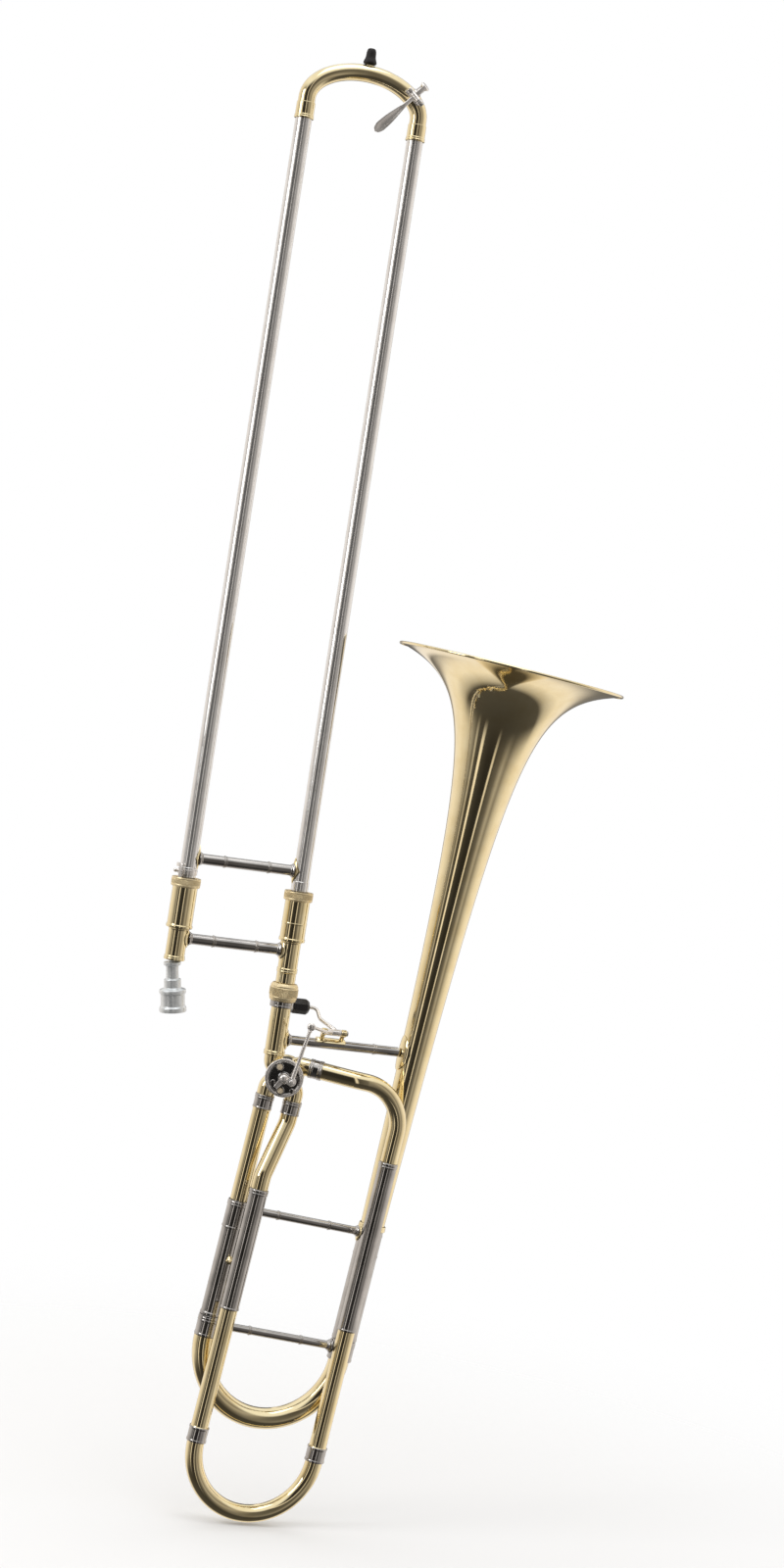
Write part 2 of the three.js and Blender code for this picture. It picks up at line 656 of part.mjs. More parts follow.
// Linkage rod: an eye on the stop arm's stud, and a flat end just in front of the lever's ball.
const [ballX, , ballZ] = between(trombone, armFrame)(...BALL);
const rodEye = (r, y0, y1, x, z) => disc(r, y0, y1, { x, z, sides: SIDES, alongY: true });
part(
  'linkage_rod',
  cut(
    join(
      rod([studX, ROD_Y, studZ], [ballX, ROD_Y, ballZ], 1.5),
      rodEye(4.2, ROD_Y - 1.4, ROD_Y + 1.4, studX, studZ),
      rodEye(3.4, ROD_Y - 1.2, ROD_Y + 1.2, ballX, ballZ)
    ),
    rodEye(2.3, ROD_Y - 5, ROD_Y + 5, studX, studZ)
  ),
  nickelSilver,
  armFrame
);

// ---- Tubing below the valve ----
part(
  'main_tube',
  turned([
    [MAIN_TUBE.bore, MAIN_TUBE.bottom], [MAIN_TUBE.r, MAIN_TUBE.bottom], [MAIN_TUBE.r, SLEEVE_BOTTOM - 0.3],
    [8.4, SLEEVE_BOTTOM], [8.4, MAIN_TUBE.top], [MAIN_TUBE.bore, MAIN_TUBE.top],
  ], { x: MAIN_X }),
  lacqueredBrass,
  bellFrame
);

const returnCorners = [
  [F_RETURN_X, F_RETURN_Y, MAIN_TUBE.top], [F_RETURN_X, F_RETURN_Y, -38], [F_LEFT_X, F_Y, -85],
  [F_LEFT_X, F_Y, F_LEG.leftTop + GAP],
];
const returnSleeve = disc(8.2, SLEEVE_BOTTOM, MAIN_TUBE.top, { x: F_RETURN_X, y: F_RETURN_Y });
part('f_return_tube', pipe(returnCorners, [16, 16], F_TUBE.r, F_TUBE.bore, returnSleeve), lacqueredBrass, bellFrame);

const outletFrom = PORT_END + GAP;
const SLEEVE_LENGTH = 11.6;
const outletCorners = [
  outletAt(outletFrom), F_OUTLET.turn, F_OUTLET.corner, [F_RIGHT_X, F_Y, F_LEG.rightTop + GAP],
];
const outletSleeve = rod(outletAt(outletFrom), outletAt(outletFrom + SLEEVE_LENGTH), 8.2, SIDES);
part(
  'f_outlet_tube',
  pipe(outletCorners, [40, F_BEND_R], F_TUBE.r, F_TUBE.bore, outletSleeve),
  lacqueredBrass,
  bellFrame
);

function fLeg(x, top) {
  return turned([
    [F_LEG.bore, F_LEG.bottom], [F_LEG.r + 0.3, F_LEG.bottom], [F_LEG.r + 0.3, F_LEG.bottom + 1.6],
    [F_LEG.r, F_LEG.bottom + 1.8], [F_LEG.r, top - 2.2], [F_LEG.r + 0.5, top - 2], [F_LEG.r + 0.5, top],
    [F_LEG.bore, top],
  ], { x, y: F_Y });
}
part('f_leg_left', fLeg(F_LEFT_X, F_LEG.leftTop), nickelSilver, bellFrame);
part('f_leg_right', fLeg(F_RIGHT_X, F_LEG.rightTop), nickelSilver, bellFrame);

// ---- F tuning slide ----
function fSlideLeg(x) {
  const sleeve = 8.3;
  return turned([
    [6.5, F_SLIDE.sleeveEnd], [sleeve, F_SLIDE.sleeveEnd], [sleeve, F_SLIDE.brassEnd],
    [F_TUBE.r, F_SLIDE.brassEnd + 0.2], [F_TUBE.r, F_LEG.bottom - GAP], [7.1, F_LEG.bottom - GAP],
    [7.1, F_SLIDE.inner], [6.5, F_SLIDE.inner],
  ], { x, y: F_Y });
}
part('f_slide_leg_left', fSlideLeg(F_LEFT_X), lacqueredBrass, bellFrame);
part('f_slide_leg_right', fSlideLeg(F_RIGHT_X), lacqueredBrass, bellFrame);

function bow(x0, x1, y, z, r, bore) {
  const radius = (x1 - x0) / 2;
  const route = bentRoute([[x0, y, z], [x0, y, z - radius], [x1, y, z - radius], [x1, y, z]], [radius, radius]);
  return swept(route, r, bore);
}
part('f_bow', bow(F_LEFT_X, F_RIGHT_X, F_Y, F_SLIDE.bowZ, F_TUBE.r, F_TUBE.bore), lacqueredBrass, bellFrame);

// ---- Main tuning slide and its legs ----
const TUNING_LEFT = { r: 8.9, bore: 7.9, inner: 7.5, ferrule: 9.5 };
const TUNING_RIGHT = { r: 10.8, bore: 9.9, inner: 9.5, ferrule: 10.9 };
part(
  'tuning_leg_left',
  turned([
    [TUNING_LEFT.bore, TUNING.end], [9.2, TUNING.end], [9.2, TUNING.end + 3], [8.6, TUNING.end + 3.2],
    [8.6, -138], [9.2, -137.6], [9.2, -135.6], [TUNING_LEFT.r, -135.4], [TUNING_LEFT.r, TUNING.top],
    [TUNING_LEFT.bore, TUNING.top],
  ], { x: MAIN_X }),
  nickelSilver,
  bellFrame
);
part(
  'tuning_leg_right',
  turned([
    [TUNING_RIGHT.bore, TUNING.end], [11.1, TUNING.end], [11.1, TUNING.end + 3],
    [TUNING_RIGHT.r, TUNING.end + 3.2], [TUNING_RIGHT.r, BELL.tailZ - GAP], [TUNING_RIGHT.bore, BELL.tailZ - GAP],
  ], { x: BELL_X }),
  nickelSilver,
  bellFrame
);
function tuningSlideLeg(leg, x) {
  const bore = leg.inner - 0.7;
  return turned([
    [bore, TUNING.ferruleEnd], [leg.ferrule, TUNING.ferruleEnd], [leg.ferrule, TUNING.end - GAP],
    [leg.inner, TUNING.end - GAP], [leg.inner, TUNING.inner], [bore, TUNING.inner],
  ], { x });
}
part('tuning_slide_leg_left', tuningSlideLeg(TUNING_LEFT, MAIN_X), nickelSilver, bellFrame);
part('tuning_slide_leg_right', tuningSlideLeg(TUNING_RIGHT, BELL_X), nickelSilver, bellFrame);
part('tuning_bow', bow(MAIN_X, BELL_X, 0, TUNING.bowZ, TUNING_BOW.r, TUNING_BOW.bore), lacqueredBrass, bellFrame);
part(
  'tuning_slide_brace',
  brace({ x: MAIN_X, r: TUNING_LEFT.ferrule }, { x: BELL_X, r: TUNING_RIGHT.ferrule },
    TUNING_SLIDE_BRACE_Z, THIN_BRACE_R, 5.6),
  nickelSilver,
  bellFrame
);
part(
  'tuning_brace',
  brace({ x: MAIN_X, r: TUNING_LEFT.r }, { x: BELL_X, r: TUNING_RIGHT.r }, TUNING_BRACE_Z, THIN_BRACE_R, 5.6),
  nickelSilver,
  bellFrame
);

// ---- Bell: the radius falls off as a power of the distance from the rim ----
const bellRadius = (d) => BELL.rimR * (1 + d / BELL.start) ** BELL.power;
function bell() {
  const length = BELL.rimZ - BELL.tailZ;
  const stations = 12;
  const outer = [];
  const inner = [];
  for (let i = 0; i <= stations; i++) {
    const d = length * (i / stations) ** 2.2;
    const r = bellRadius(d);
    const slope = (BELL.power * r) / (d + BELL.start);
    const across = BELL.wall / Math.hypot(1, slope);
    outer.push([r, BELL.rimZ - d]);
    inner.push([r - across, BELL.rimZ - d + slope * -across]);
  }
  // The edge is rolled over a wire: a small bead with a flat front.
  const edge = [[BELL.rimR - 2.6, BELL.rimZ + 1.4], [BELL.rimR + 0.2, BELL.rimZ + 1.4], [BELL.rimR + 0.8, BELL.rimZ]];
  inner[0] = edge[0];
  inner[inner.length - 1][1] = BELL.tailZ;
  outer[0] = [BELL.rimR + 0.2, BELL.rimZ - 1];
  return turned([...inner.reverse(), edge[1], edge[2], ...outer], { x: BELL_X, sides: FINE_SIDES });
}
part('bell', bell(), lacqueredBrass, bellFrame);

// ---- Brace from the gooseneck to the bell ----
const BELL_FLANGE = { r: 14.4, thick: 1.4, pad: 11.5, z: 41.4 };
part(
  'bell_brace',
  join(
    rod([BELL_BRACE.from + 0.4, 0, BELL_BRACE.z], [BELL_BRACE.to - 1.2, 0, BELL_BRACE.z], BELL_BRACE.r, ROD_SIDES),
    saddle(RIGHT, BELL_BRACE.z, GOOSENECK.r, 1, 7.4),
    rod([88, 0, BELL_BRACE.z], [90.4, 0, BELL_BRACE.z], BELL_BRACE.r + 0.5, ROD_SIDES)
  ),
  nickelSilver
);
part(
  'bell_brace_flange',
  saddle(BELL_X, BELL_FLANGE.z, BELL_FLANGE.r - GAP, -1, BELL_FLANGE.pad, BELL_FLANGE.thick),
  lacqueredBrass,
  bellFrame
);

// Short stays hold the F legs to the legs behind them.
function stay(x0, r0, x1, r1, z) {
  const from = new THREE.Vector3(x0, 0, z);
  const to = new THREE.Vector3(x1, F_Y, z);
  const way = to.clone().sub(from).normalize();
  const post = rod(
    from.clone().addScaledVector(way, r0 - 2).toArray(), to.clone().addScaledVector(way, 2 - r1).toArray(), 4, SIDES
  );
  return cut(
    post,
    disc(r0 + GAP, z - 9, z + 9, { x: x0 }),
    disc(r1 + GAP, z - 9, z + 9, { x: x1, y: F_Y })
  );
}
part('f_stay_left', stay(MAIN_X, 8.6, F_LEFT_X, F_LEG.r, -165), lacqueredBrass, bellFrame);
part('f_stay_right', stay(BELL_X, TUNING_RIGHT.r, F_RIGHT_X, F_LEG.r, -165), lacqueredBrass, bellFrame);

// ---- Thumb lever on two posts above the brace ----
const xRod = (r, x0, x1, sides = SMALL_SIDES) => rod([x0, HINGE.y, HINGE.z], [x1, HINGE.y, HINGE.z], r, sides);
const POSTS = [[37.4, 41.7], [55.3, 59.6]];
const posts = POSTS.flatMap(([a, b]) => [
  xRod(3.1, a, b),
  rod([(a + b) / 2, -2.2, -39.6], [(a + b) / 2, HINGE.y, HINGE.z - 1], 2),
]);
part(
  'lever_bracket',
  cut(
    join(
      box((POSTS[0][0] + POSTS[1][1]) / 2, -1.6, -39.2, 26, 5, 2.6),
      ...posts
    ),
    rod([20, 0, BELL_BRACE.z], [80, 0, BELL_BRACE.z], BELL_BRACE.r + GAP, SIDES),
    xRod(HINGE.bore, 30, 65)
  ),
  lacqueredBrass
);
part('lever_hinge_pin', join(xRod(1.05, 36.6, 60), xRod(2.2, 59.9, 61.2)), steel);

const ballArm = bentRoute([[45.5, -10, -31], [38.5, -17.5, -30.2], BALL], [8]);
const PAD = { x: [13.6, 26.7, 29.2], y: 16, z: -14.8, r: 6.9, tip: 4.6, sides: 8, bore: 1.9, depth: 8 };
const paddleArm = bentRoute([
  [49.5, -6.8, -29], [38.6, 8, -22.8], [36.8, PAD.y, PAD.z], [PAD.x[2] - PAD.depth + 1, PAD.y, PAD.z],
], [6, 5]);
part(
  'thumb_lever',
  cut(
    join(
      xRod(HINGE.r, HINGE.from, HINGE.to, SIDES),
      swept(ballArm, 1.3, 0, SMALL_SIDES),
      swept(paddleArm, 1.5, 0, SMALL_SIDES),
      toSolid(new THREE.SphereGeometry(2.6, SMALL_SIDES, 8).translate(...BALL))
    ),
    xRod(HINGE.bore, 40, 57)
  ),
  nickelSilver
);
const padGeometry = new THREE.LatheGeometry(
  [
    [0, PAD.x[0]], [PAD.r, PAD.x[0]], [PAD.r, PAD.x[1]], [PAD.tip, PAD.x[2]], [PAD.bore, PAD.x[2]],
    [PAD.bore, PAD.x[2] - PAD.depth], [0, PAD.x[2] - PAD.depth],
  ].map(([r, h]) => new THREE.Vector2(r, h)),
  PAD.sides,
  Math.PI / PAD.sides
);
part('thumb_pad', toSolid(padGeometry.rotateZ(-Math.PI / 2).translate(0, PAD.y, PAD.z)), blackPlastic);

// The frame of the whole object sits in the middle of its bounding box.
const middle = new THREE.Box3().setFromObject(trombone, true).getCenter(new THREE.Vector3());
trombone.position.copy(middle).negate();

export default trombone;
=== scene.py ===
"""Looks for the trombone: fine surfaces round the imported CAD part, materials, a plain studio and the camera."""
import math

import bmesh
import bpy
from mathutils import Matrix, Vector


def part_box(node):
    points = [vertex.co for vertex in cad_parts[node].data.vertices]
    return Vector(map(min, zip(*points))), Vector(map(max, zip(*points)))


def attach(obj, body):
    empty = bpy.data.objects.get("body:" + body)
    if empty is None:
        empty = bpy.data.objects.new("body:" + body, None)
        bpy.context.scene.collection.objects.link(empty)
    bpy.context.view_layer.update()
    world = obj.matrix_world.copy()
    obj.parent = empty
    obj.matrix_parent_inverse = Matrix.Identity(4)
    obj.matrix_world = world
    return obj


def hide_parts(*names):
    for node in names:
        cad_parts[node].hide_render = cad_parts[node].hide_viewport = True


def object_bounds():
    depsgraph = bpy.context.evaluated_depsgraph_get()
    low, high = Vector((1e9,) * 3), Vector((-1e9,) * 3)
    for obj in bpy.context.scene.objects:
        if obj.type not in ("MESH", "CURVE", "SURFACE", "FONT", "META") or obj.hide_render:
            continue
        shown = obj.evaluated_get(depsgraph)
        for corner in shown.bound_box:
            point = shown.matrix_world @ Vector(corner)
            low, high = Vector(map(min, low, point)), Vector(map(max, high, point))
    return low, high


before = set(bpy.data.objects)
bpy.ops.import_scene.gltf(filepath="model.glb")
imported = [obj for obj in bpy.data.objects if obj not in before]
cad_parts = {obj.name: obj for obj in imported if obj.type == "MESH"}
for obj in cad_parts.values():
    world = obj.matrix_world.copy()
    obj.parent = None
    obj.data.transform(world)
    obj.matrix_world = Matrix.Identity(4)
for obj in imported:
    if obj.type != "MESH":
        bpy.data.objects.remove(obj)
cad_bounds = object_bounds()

# ---- Frames, in millimetres from the joint between slide and bell section ----
right_lo, right_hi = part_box("inner_tube_right")
left_lo, left_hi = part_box("inner_tube_left")
tenon_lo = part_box("slide_tenon")[0]
JOINT = Vector(((right_lo.x + right_hi.x) / 2, (right_lo.y + right_hi.y) / 2, tenon_lo.z + 0.034))
SPACING = round(((right_lo.x + right_hi.x) - (left_lo.x + left_hi.x)) * 500, 2)
LEFT = -SPACING
RIGHT = 0.0
MIDDLE = LEFT / 2
ROW = Matrix.Translation(JOINT) @ Matrix.Scale(0.001, 4)


def tilted(x, y, z, degrees):
    return ROW @ Matrix.Translation((x, y, z)) @ Matrix.Rotation(math.radians(degrees), 4, "Y")


BELL_LEAN = 5.6
BELL = tilted(6, 0, -74, BELL_LEAN)
VALVE = BELL @ Matrix.Translation((6.5, 0, 0)) @ Matrix.Rotation(math.radians(-17), 4, "Z")
ARM_FRAME = VALVE @ Matrix.Rotation(math.radians(-BELL_LEAN), 4, "Y")
PLUG = tilted(LEFT - 1.6, 0, 15, -9.7)
CROOK_Z, CROOK_RISE, CROOK_R = 766, 31, 7.4
KEY_TURN = math.radians(36)
KEY_X = MIDDLE - MIDDLE * math.cos(KEY_TURN)
KEY_Z = CROOK_Z + CROOK_RISE * math.sin(KEY_TURN)
KEY_ANGLE = math.degrees(math.atan2(-CROOK_RISE * math.cos(KEY_TURN), MIDDLE * math.sin(KEY_TURN)))
KEY = tilted(KEY_X, -12, KEY_Z, KEY_ANGLE)
ALONG_Y = Matrix.Rotation(math.radians(-90), 4, "X")  # local z to +y
ALONG_X = Matrix.Rotation(math.radians(90), 4, "Y")  # local z to +x


# ---- Materials ----
class Nodes:
    def __init__(self, tree):
        self.tree = tree

    def add(self, kind, **values):
        node = self.tree.nodes.new(kind)
        for key, value in values.items():
            if key in node.inputs:
                node.inputs[key].default_value = value
            else:
                setattr(node, key, value)
        return node

    def link(self, a, b):
        self.tree.links.new(a, b)


def ramp(n, source, stops, interpolation="LINEAR"):
    node = n.add("ShaderNodeValToRGB")
    node.color_ramp.interpolation = interpolation
    elements = node.color_ramp.elements
    while len(elements) < len(stops):
        elements.new(0.5)
    for element, (at, color) in zip(elements, stops):
        element.position = at
        element.color = color if len(color) == 4 else (*color, 1)
    n.link(source, node.inputs[0])
    return node.outputs[0]


def grey(v):
    return (v, v, v)


def new_material(name):
    """A material with its node helper and its main shader."""
    mat = bpy.data.materials.new(name)
    mat.use_nodes = True
    return mat, Nodes(mat.node_tree), mat.node_tree.nodes["Principled BSDF"]


def metal(name, light, dark, rough, rough_hi, scale=900, bump=0.02, stretch=(1, 1, 1), coat=0.0, smudge=60,
          metallic=1.0):
    """A polished or brushed metal: slow stains, fine marks stretched along one way, and a clear coat."""
    mat, n, bsdf = new_material(name)
    bsdf.inputs["Metallic"].default_value = metallic
    coord = n.add("ShaderNodeTexCoord").outputs["Object"]
    slow = n.add("ShaderNodeTexNoise", Scale=smudge, Detail=3.0, Roughness=0.55)
    n.link(coord, slow.inputs["Vector"])
    mapping = n.add("ShaderNodeMapping")
    mapping.inputs["Scale"].default_value = stretch
    n.link(coord, mapping.inputs["Vector"])
    fine = n.add("ShaderNodeTexNoise", Scale=scale, Detail=5.0, Roughness=0.6)
    n.link(mapping.outputs[0], fine.inputs["Vector"])
    n.link(ramp(n, slow.outputs[0], [(0.3, dark), (0.62, light)]), bsdf.inputs["Base Color"])
    mix = n.add("ShaderNodeMath", operation="ADD")
    n.link(slow.outputs[0], mix.inputs[0])
    n.link(fine.outputs[0], mix.inputs[1])
    n.link(ramp(n, mix.outputs[0], [(0.7, grey(rough)), (1.3, grey(rough_hi))]), bsdf.inputs["Roughness"])
    lump = n.add("ShaderNodeBump", Strength=bump, Distance=0.0004)
    n.link(fine.outputs[0], lump.inputs["Height"])
    n.link(lump.outputs[0], bsdf.inputs["Normal"])
    if coat:
        bsdf.inputs["Coat Weight"].default_value = coat
        bsdf.inputs["Coat Roughness"].default_value = 0.04
    return mat


def matt(name, light, dark, rough, scale, bump, sheen=0.0, spec=0.5, voronoi=False, distance=0.0005, metallic=0.0):
    mat, n, bsdf = new_material(name)
    bsdf.inputs["Specular IOR Level"].default_value = spec
    bsdf.inputs["Sheen Weight"].default_value = sheen
    bsdf.inputs["Metallic"].default_value = metallic
    coord = n.add("ShaderNodeTexCoord").outputs["Object"]
    grain = n.add("ShaderNodeTexNoise", Scale=scale, Detail=6.0, Roughness=0.65)
    n.link(coord, grain.inputs["Vector"])
    height = grain.outputs[0]
    if voronoi:
        cells = n.add("ShaderNodeTexVoronoi", Scale=scale * 0.6)
        n.link(coord, cells.inputs["Vector"])
        both = n.add("ShaderNodeMath", operation="ADD")
        n.link(cells.outputs[0], both.inputs[0])
        n.link(grain.outputs[0], both.inputs[1])
        height = both.outputs[0]
    n.link(ramp(n, grain.outputs[0], [(0.35, dark), (0.65, light)]), bsdf.inputs["Base Color"])
    n.link(ramp(n, grain.outputs[0], [(0.3, grey(rough * 0.85)), (0.7, grey(min(1, rough * 1.15)))]),
           bsdf.inputs["Roughness"])
    lump = n.add("ShaderNodeBump", Strength=bump, Distance=distance)
    n.link(height, lump.inputs["Height"])
    n.link(lump.outputs[0], bsdf.inputs["Normal"])
    return mat


BRASS = metal("lacquered_brass_look", (0.88, 0.755, 0.47), (0.82, 0.68, 0.39), 0.03, 0.08, coat=0.35, bump=0.008)
SATIN = metal("satin_brass_look", (0.90, 0.76, 0.48), (0.80, 0.64, 0.37), 0.28, 0.40, scale=1500, bump=0.15,
              metallic=0.8)
NICKEL = metal("nickel_silver_look", (0.50, 0.48, 0.46), (0.38, 0.365, 0.35), 0.05, 0.11, bump=0.012,
               stretch=(1, 1, 0.05))
# Satin nickel silver: the rougher finish is real, but the much lighter colour is painted light, so these parts stay
# bright where they face the dark side of the room.
SATIN_NICKEL_PAINTED_LIGHT = metal("satin_nickel_painted_light_look", (0.90, 0.87, 0.84), (0.80, 0.76, 0.73), 0.12, 0.22, bump=0.03, metallic=0.78)
# A darker copy of the nickel silver: painted dark reflection, for the valve face that mirrors the dark side of the
# room.
NICKEL_PAINTED_DARK = metal("nickel_painted_dark_reflection_look", (0.34, 0.335, 0.33), (0.26, 0.255, 0.25), 0.05, 0.12, bump=0.012)
TUBE = metal("slide_tube_look", (0.86, 0.85, 0.84), (0.79, 0.77, 0.75), 0.07, 0.14, bump=0.01,
             stretch=(1, 1, 0.02), metallic=0.8)
STEEL = metal("steel_look", (0.62, 0.62, 0.61), (0.52, 0.52, 0.51), 0.18, 0.3, bump=0.06)
BLACK = matt("black_plastic_look", (0.018, 0.018, 0.02), (0.010, 0.010, 0.012), 0.32, 1200, 0.04)
RUBBER = matt("black_rubber_look", (0.022, 0.019, 0.019), (0.012, 0.010, 0.010), 0.62, 2200, 0.25, spec=0.4)
GREY = matt("grey_plastic_look", (0.84, 0.87, 0.88), (0.74, 0.77, 0.78), 0.30, 1600, 0.08, metallic=0.6)
CORK = matt("cork_look", (0.80, 0.72, 0.56), (0.52, 0.40, 0.24), 0.85, 2600, 0.5, voronoi=True)
FELT = matt("felt_look", (0.05, 0.09, 0.07), (0.02, 0.04, 0.03), 0.95, 5200, 0.7, sheen=0.5)


# ---- Mesh tools ----
def new_object(name, data):
    obj = bpy.data.objects.new(name, data)
    bpy.context.scene.collection.objects.link(obj)
    return obj


def piece(name, part, where, mat, body, nodes=(), sharp=32):
    """A part (verts, faces) placed in a frame, riding on a body and standing for CAD nodes."""
    verts, faces = part
    mesh = bpy.data.meshes.new(name)
    mesh.from_pydata([where @ Vector(v) for v in verts], [], faces)
    bm = bmesh.new()
    bm.from_mesh(mesh)
    bmesh.ops.remove_doubles(bm, verts=bm.verts, dist=2e-6)
    bmesh.ops.recalc_face_normals(bm, faces=bm.faces)
    bm.to_mesh(mesh)
    bm.free()
    mesh.shade_smooth()
    mesh.set_sharp_from_angle(angle=math.radians(sharp))
    obj = new_object(name, mesh)
    mesh.materials.append(mat)
    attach(obj, body)
    if nodes:
        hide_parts(*nodes)
    return obj


def rounded(profile, r=0.3, closed=True):
    """The profile with each corner turned into a small arc. Ends on the axis stay."""
    points = [Vector(p) for p in profile]
    out = []
    count = len(points)
    for i, p in enumerate(points):
        if not closed and i in (0, count - 1):
            out.append(p)
            continue
        a, b = points[i - 1], points[(i + 1) % count]
        la, lb = (a - p).length, (b - p).length
        cut = min(r, 0.42 * la, 0.42 * lb)
        if cut < 0.02:
            out.append(p)
            continue
        start = p + (a - p) * (cut / la)
        end = p + (b - p) * (cut / lb)
        for t in (0, 0.3, 0.7, 1):
            out.append(start * (1 - t) ** 2 + p * (2 * t * (1 - t)) + end * t ** 2)
    return out


def revolve(profile, segs=64, closed=True, ripple=None):
    """A profile of (radius, height) turned round z, as verts and faces. ripple(angle, r, h) adds to the radius."""
    verts, faces = [], []
    count = len(profile)
    for k in range(segs):
        a = 2 * math.pi * k / segs
        for r, h in profile:
            rr = r + (ripple(a, r, h) if ripple else 0)
            verts.append((rr * math.cos(a), rr * math.sin(a), h))
    for k in range(segs):
        nxt = (k + 1) % segs
        for i in range(count if closed else count - 1):
            j = (i + 1) % count
            faces.append((k * count + i, nxt * count + i, nxt * count + j, k * count + j))
    return verts, faces


def lathe(profile, r=0.3, segs=64, ripple=None):
    """A turned part. A profile that starts and ends on the axis is closed there, any other closes on itself."""
    closed = not (abs(profile[0][0]) < 1e-9 and abs(profile[-1][0]) < 1e-9)
    return revolve(rounded(profile, r, closed), segs, closed, ripple)


def turned(name, profile, mat, body, nodes=(), where=ROW, at=(0, 0, 0), way=None, r=0.3, segs=64, ripple=None):
    place = where @ Matrix.Translation(at)
    if way is not None:
        place = place @ way
    return piece(name, lathe(profile, r, segs, ripple), place, mat, body, nodes)


def shell(r, bore, a, b):
    """The profile of a plain pipe, or of a rod where the bore is 0."""
    return [(bore, a), (r, a), (r, b), (bore, b)]


def bent(corners, radii, turn_steps=16):
    """Stations (point, direction) of straight runs joined by round bends."""
    points = [Vector(c) for c in corners]
    stations = []

    def put(p, t):
        if not stations or (stations[-1][0] - p).length > 0.02:
            stations.append((p, t))

    put(points[0], (points[1] - points[0]).normalized())
    for i in range(1, len(points) - 1):
        before = (points[i] - points[i - 1]).normalized()
        after = (points[i + 1] - points[i]).normalized()
        angle = before.angle(after)
        radius = radii[i - 1]
        start = points[i] - before * (radius * math.tan(angle / 2))
        side = (after - before * after.dot(before)).normalized()
        steps = max(3, round(angle / (math.pi / 2) * turn_steps))
        for k in range(steps + 1):
            a = angle * k / steps
            p = start + before * (radius * math.sin(a)) + side * (radius * (1 - math.cos(a)))
            put(p, before * math.cos(a) + side * math.sin(a))
    put(points[-1], (points[-1] - points[-2]).normalized())
    return stations


def sweep(stations, radius, bore=None, sides=40):
    """A bar, or a pipe with a bore, along stations. radius may be a function of the share of the length."""
    first = stations[0][1]
    normal = first.orthogonal().normalized()
    rings = []
    lengths = [0.0]
    for (p, _), (q, _) in zip(stations, stations[1:]):
        lengths.append(lengths[-1] + (q - p).length)
    previous = first
    for (p, t), s in zip(stations, lengths):
        t = t.normalized()
        normal = (previous.rotation_difference(t) @ normal).normalized()
        previous = t
        other = t.cross(normal)
        rr = radius(s / lengths[-1]) if callable(radius) else radius
        sizes = [rr] if bore is None else [rr, bore]
        rings.append([
            [p + (normal * math.cos(2 * math.pi * k / sides) + other * math.sin(2 * math.pi * k / sides)) * size
             for k in range(sides)]
            for size in sizes
        ])
    verts, faces = [], []
    layers = len(rings[0])
    index = {}
    for i, ring in enumerate(rings):
        for layer in range(layers):
            index[i, layer] = len(verts)
            verts.extend(ring[layer])
    for i in range(len(rings) - 1):
        for layer in range(layers):
            a, b = index[i, layer], index[i + 1, layer]
            for k in range(sides):
                m = (k + 1) % sides
                faces.append((a + k, a + m, b + m, b + k))
    for i in (0, len(rings) - 1):
        if layers == 1:
            faces.append(tuple(index[i, 0] + k for k in range(sides)))
        else:
            for k in range(sides):
                m = (k + 1) % sides
                faces.append((index[i, 0] + k, index[i, 0] + m, index[i, 1] + m, index[i, 1] + k))
    return verts, faces


def swept(name, stations, radius, mat, body, nodes=(), bore=None, where=ROW, sides=40):
    return piece(name, sweep(stations, radius, bore, sides), where, mat, body, nodes)


def straight(a, b, steps=1):
    a, b = Vector(a), Vector(b)
    t = (b - a).normalized()
    return [(a.lerp(b, k / steps), t) for k in range(steps + 1)]


def bars(*parts):
    """Joins several (verts, faces) lists."""
    verts, faces = [], []
    for v, f in parts:
        base = len(verts)
        verts.extend(v)
        faces.extend(tuple(base + i for i in face) for face in f)
    return verts, faces


def moved(part, matrix):
    return [matrix @ Vector(v) for v in part[0]], part[1]


def turn_to(way):
    """The rotation that takes z to a direction."""
    return Vector((0, 0, 1)).rotation_difference(way).to_matrix().to_4x4()


def y_disc(x, z, r, y0, y1, bore=0, sides=40, soft=0.4):
    """A disc, ring or rod with its axis along y."""
    return moved(lathe(shell(r, bore, y0, y1), soft, sides), Matrix.Translation((x, 0, z)) @ ALONG_Y)


def ring_on(a, b, r, half):
    """A rounded bead of radius r round the line from a to b, centred at its middle."""
    a, b = Vector(a), Vector(b)
    t = (b - a).normalized()
    c = (a + b) / 2
    profile = [(0, -half), (r - 0.5, -half), (r, -half * 0.5), (r, half * 0.5), (r - 0.5, half), (0, half)]
    return moved(lathe(profile, 0.25, 40), Matrix.Translation(c) @ turn_to(t))


def plate_on_tube(x, z, tube_r, side, half_s, half_z, power=1.6, thick=1.2):
    """A soldered plate with a leaf or oval outline, wrapped round an upright tube and thinned at its edge."""
    rings, steps, gap = 10, 48, 0.25
    verts, faces = [], []
    for layer in (0, 1):
        for i in range(rings + 1):
            f = i / rings
            for k in range(steps):
                a = 2 * math.pi * k / steps
                c, s = math.cos(a), math.sin(a)
                u = f * half_s * math.copysign(abs(c) ** power, c)
                v = f * half_z * math.copysign(abs(s) ** power, s)
                lift = gap if layer else gap + 0.25 + thick * (1 - f ** 3) ** 0.7
                rr = tube_r + lift
                angle = u / tube_r
                verts.append((x + side * rr * math.cos(angle), rr * math.sin(angle), z + v))
    per = (rings + 1) * steps
    for layer in (0, 1):
        for i in range(rings):
            for k in range(steps):
                m = (k + 1) % steps
                q = layer * per + i * steps
                faces.append((q + k, q + m, q + steps + m, q + steps + k))
    edge = rings * steps
    for k in range(steps):
        m = (k + 1) % steps
        faces.append((edge + k, edge + m, per + edge + m, per + edge + k))
    return verts, faces


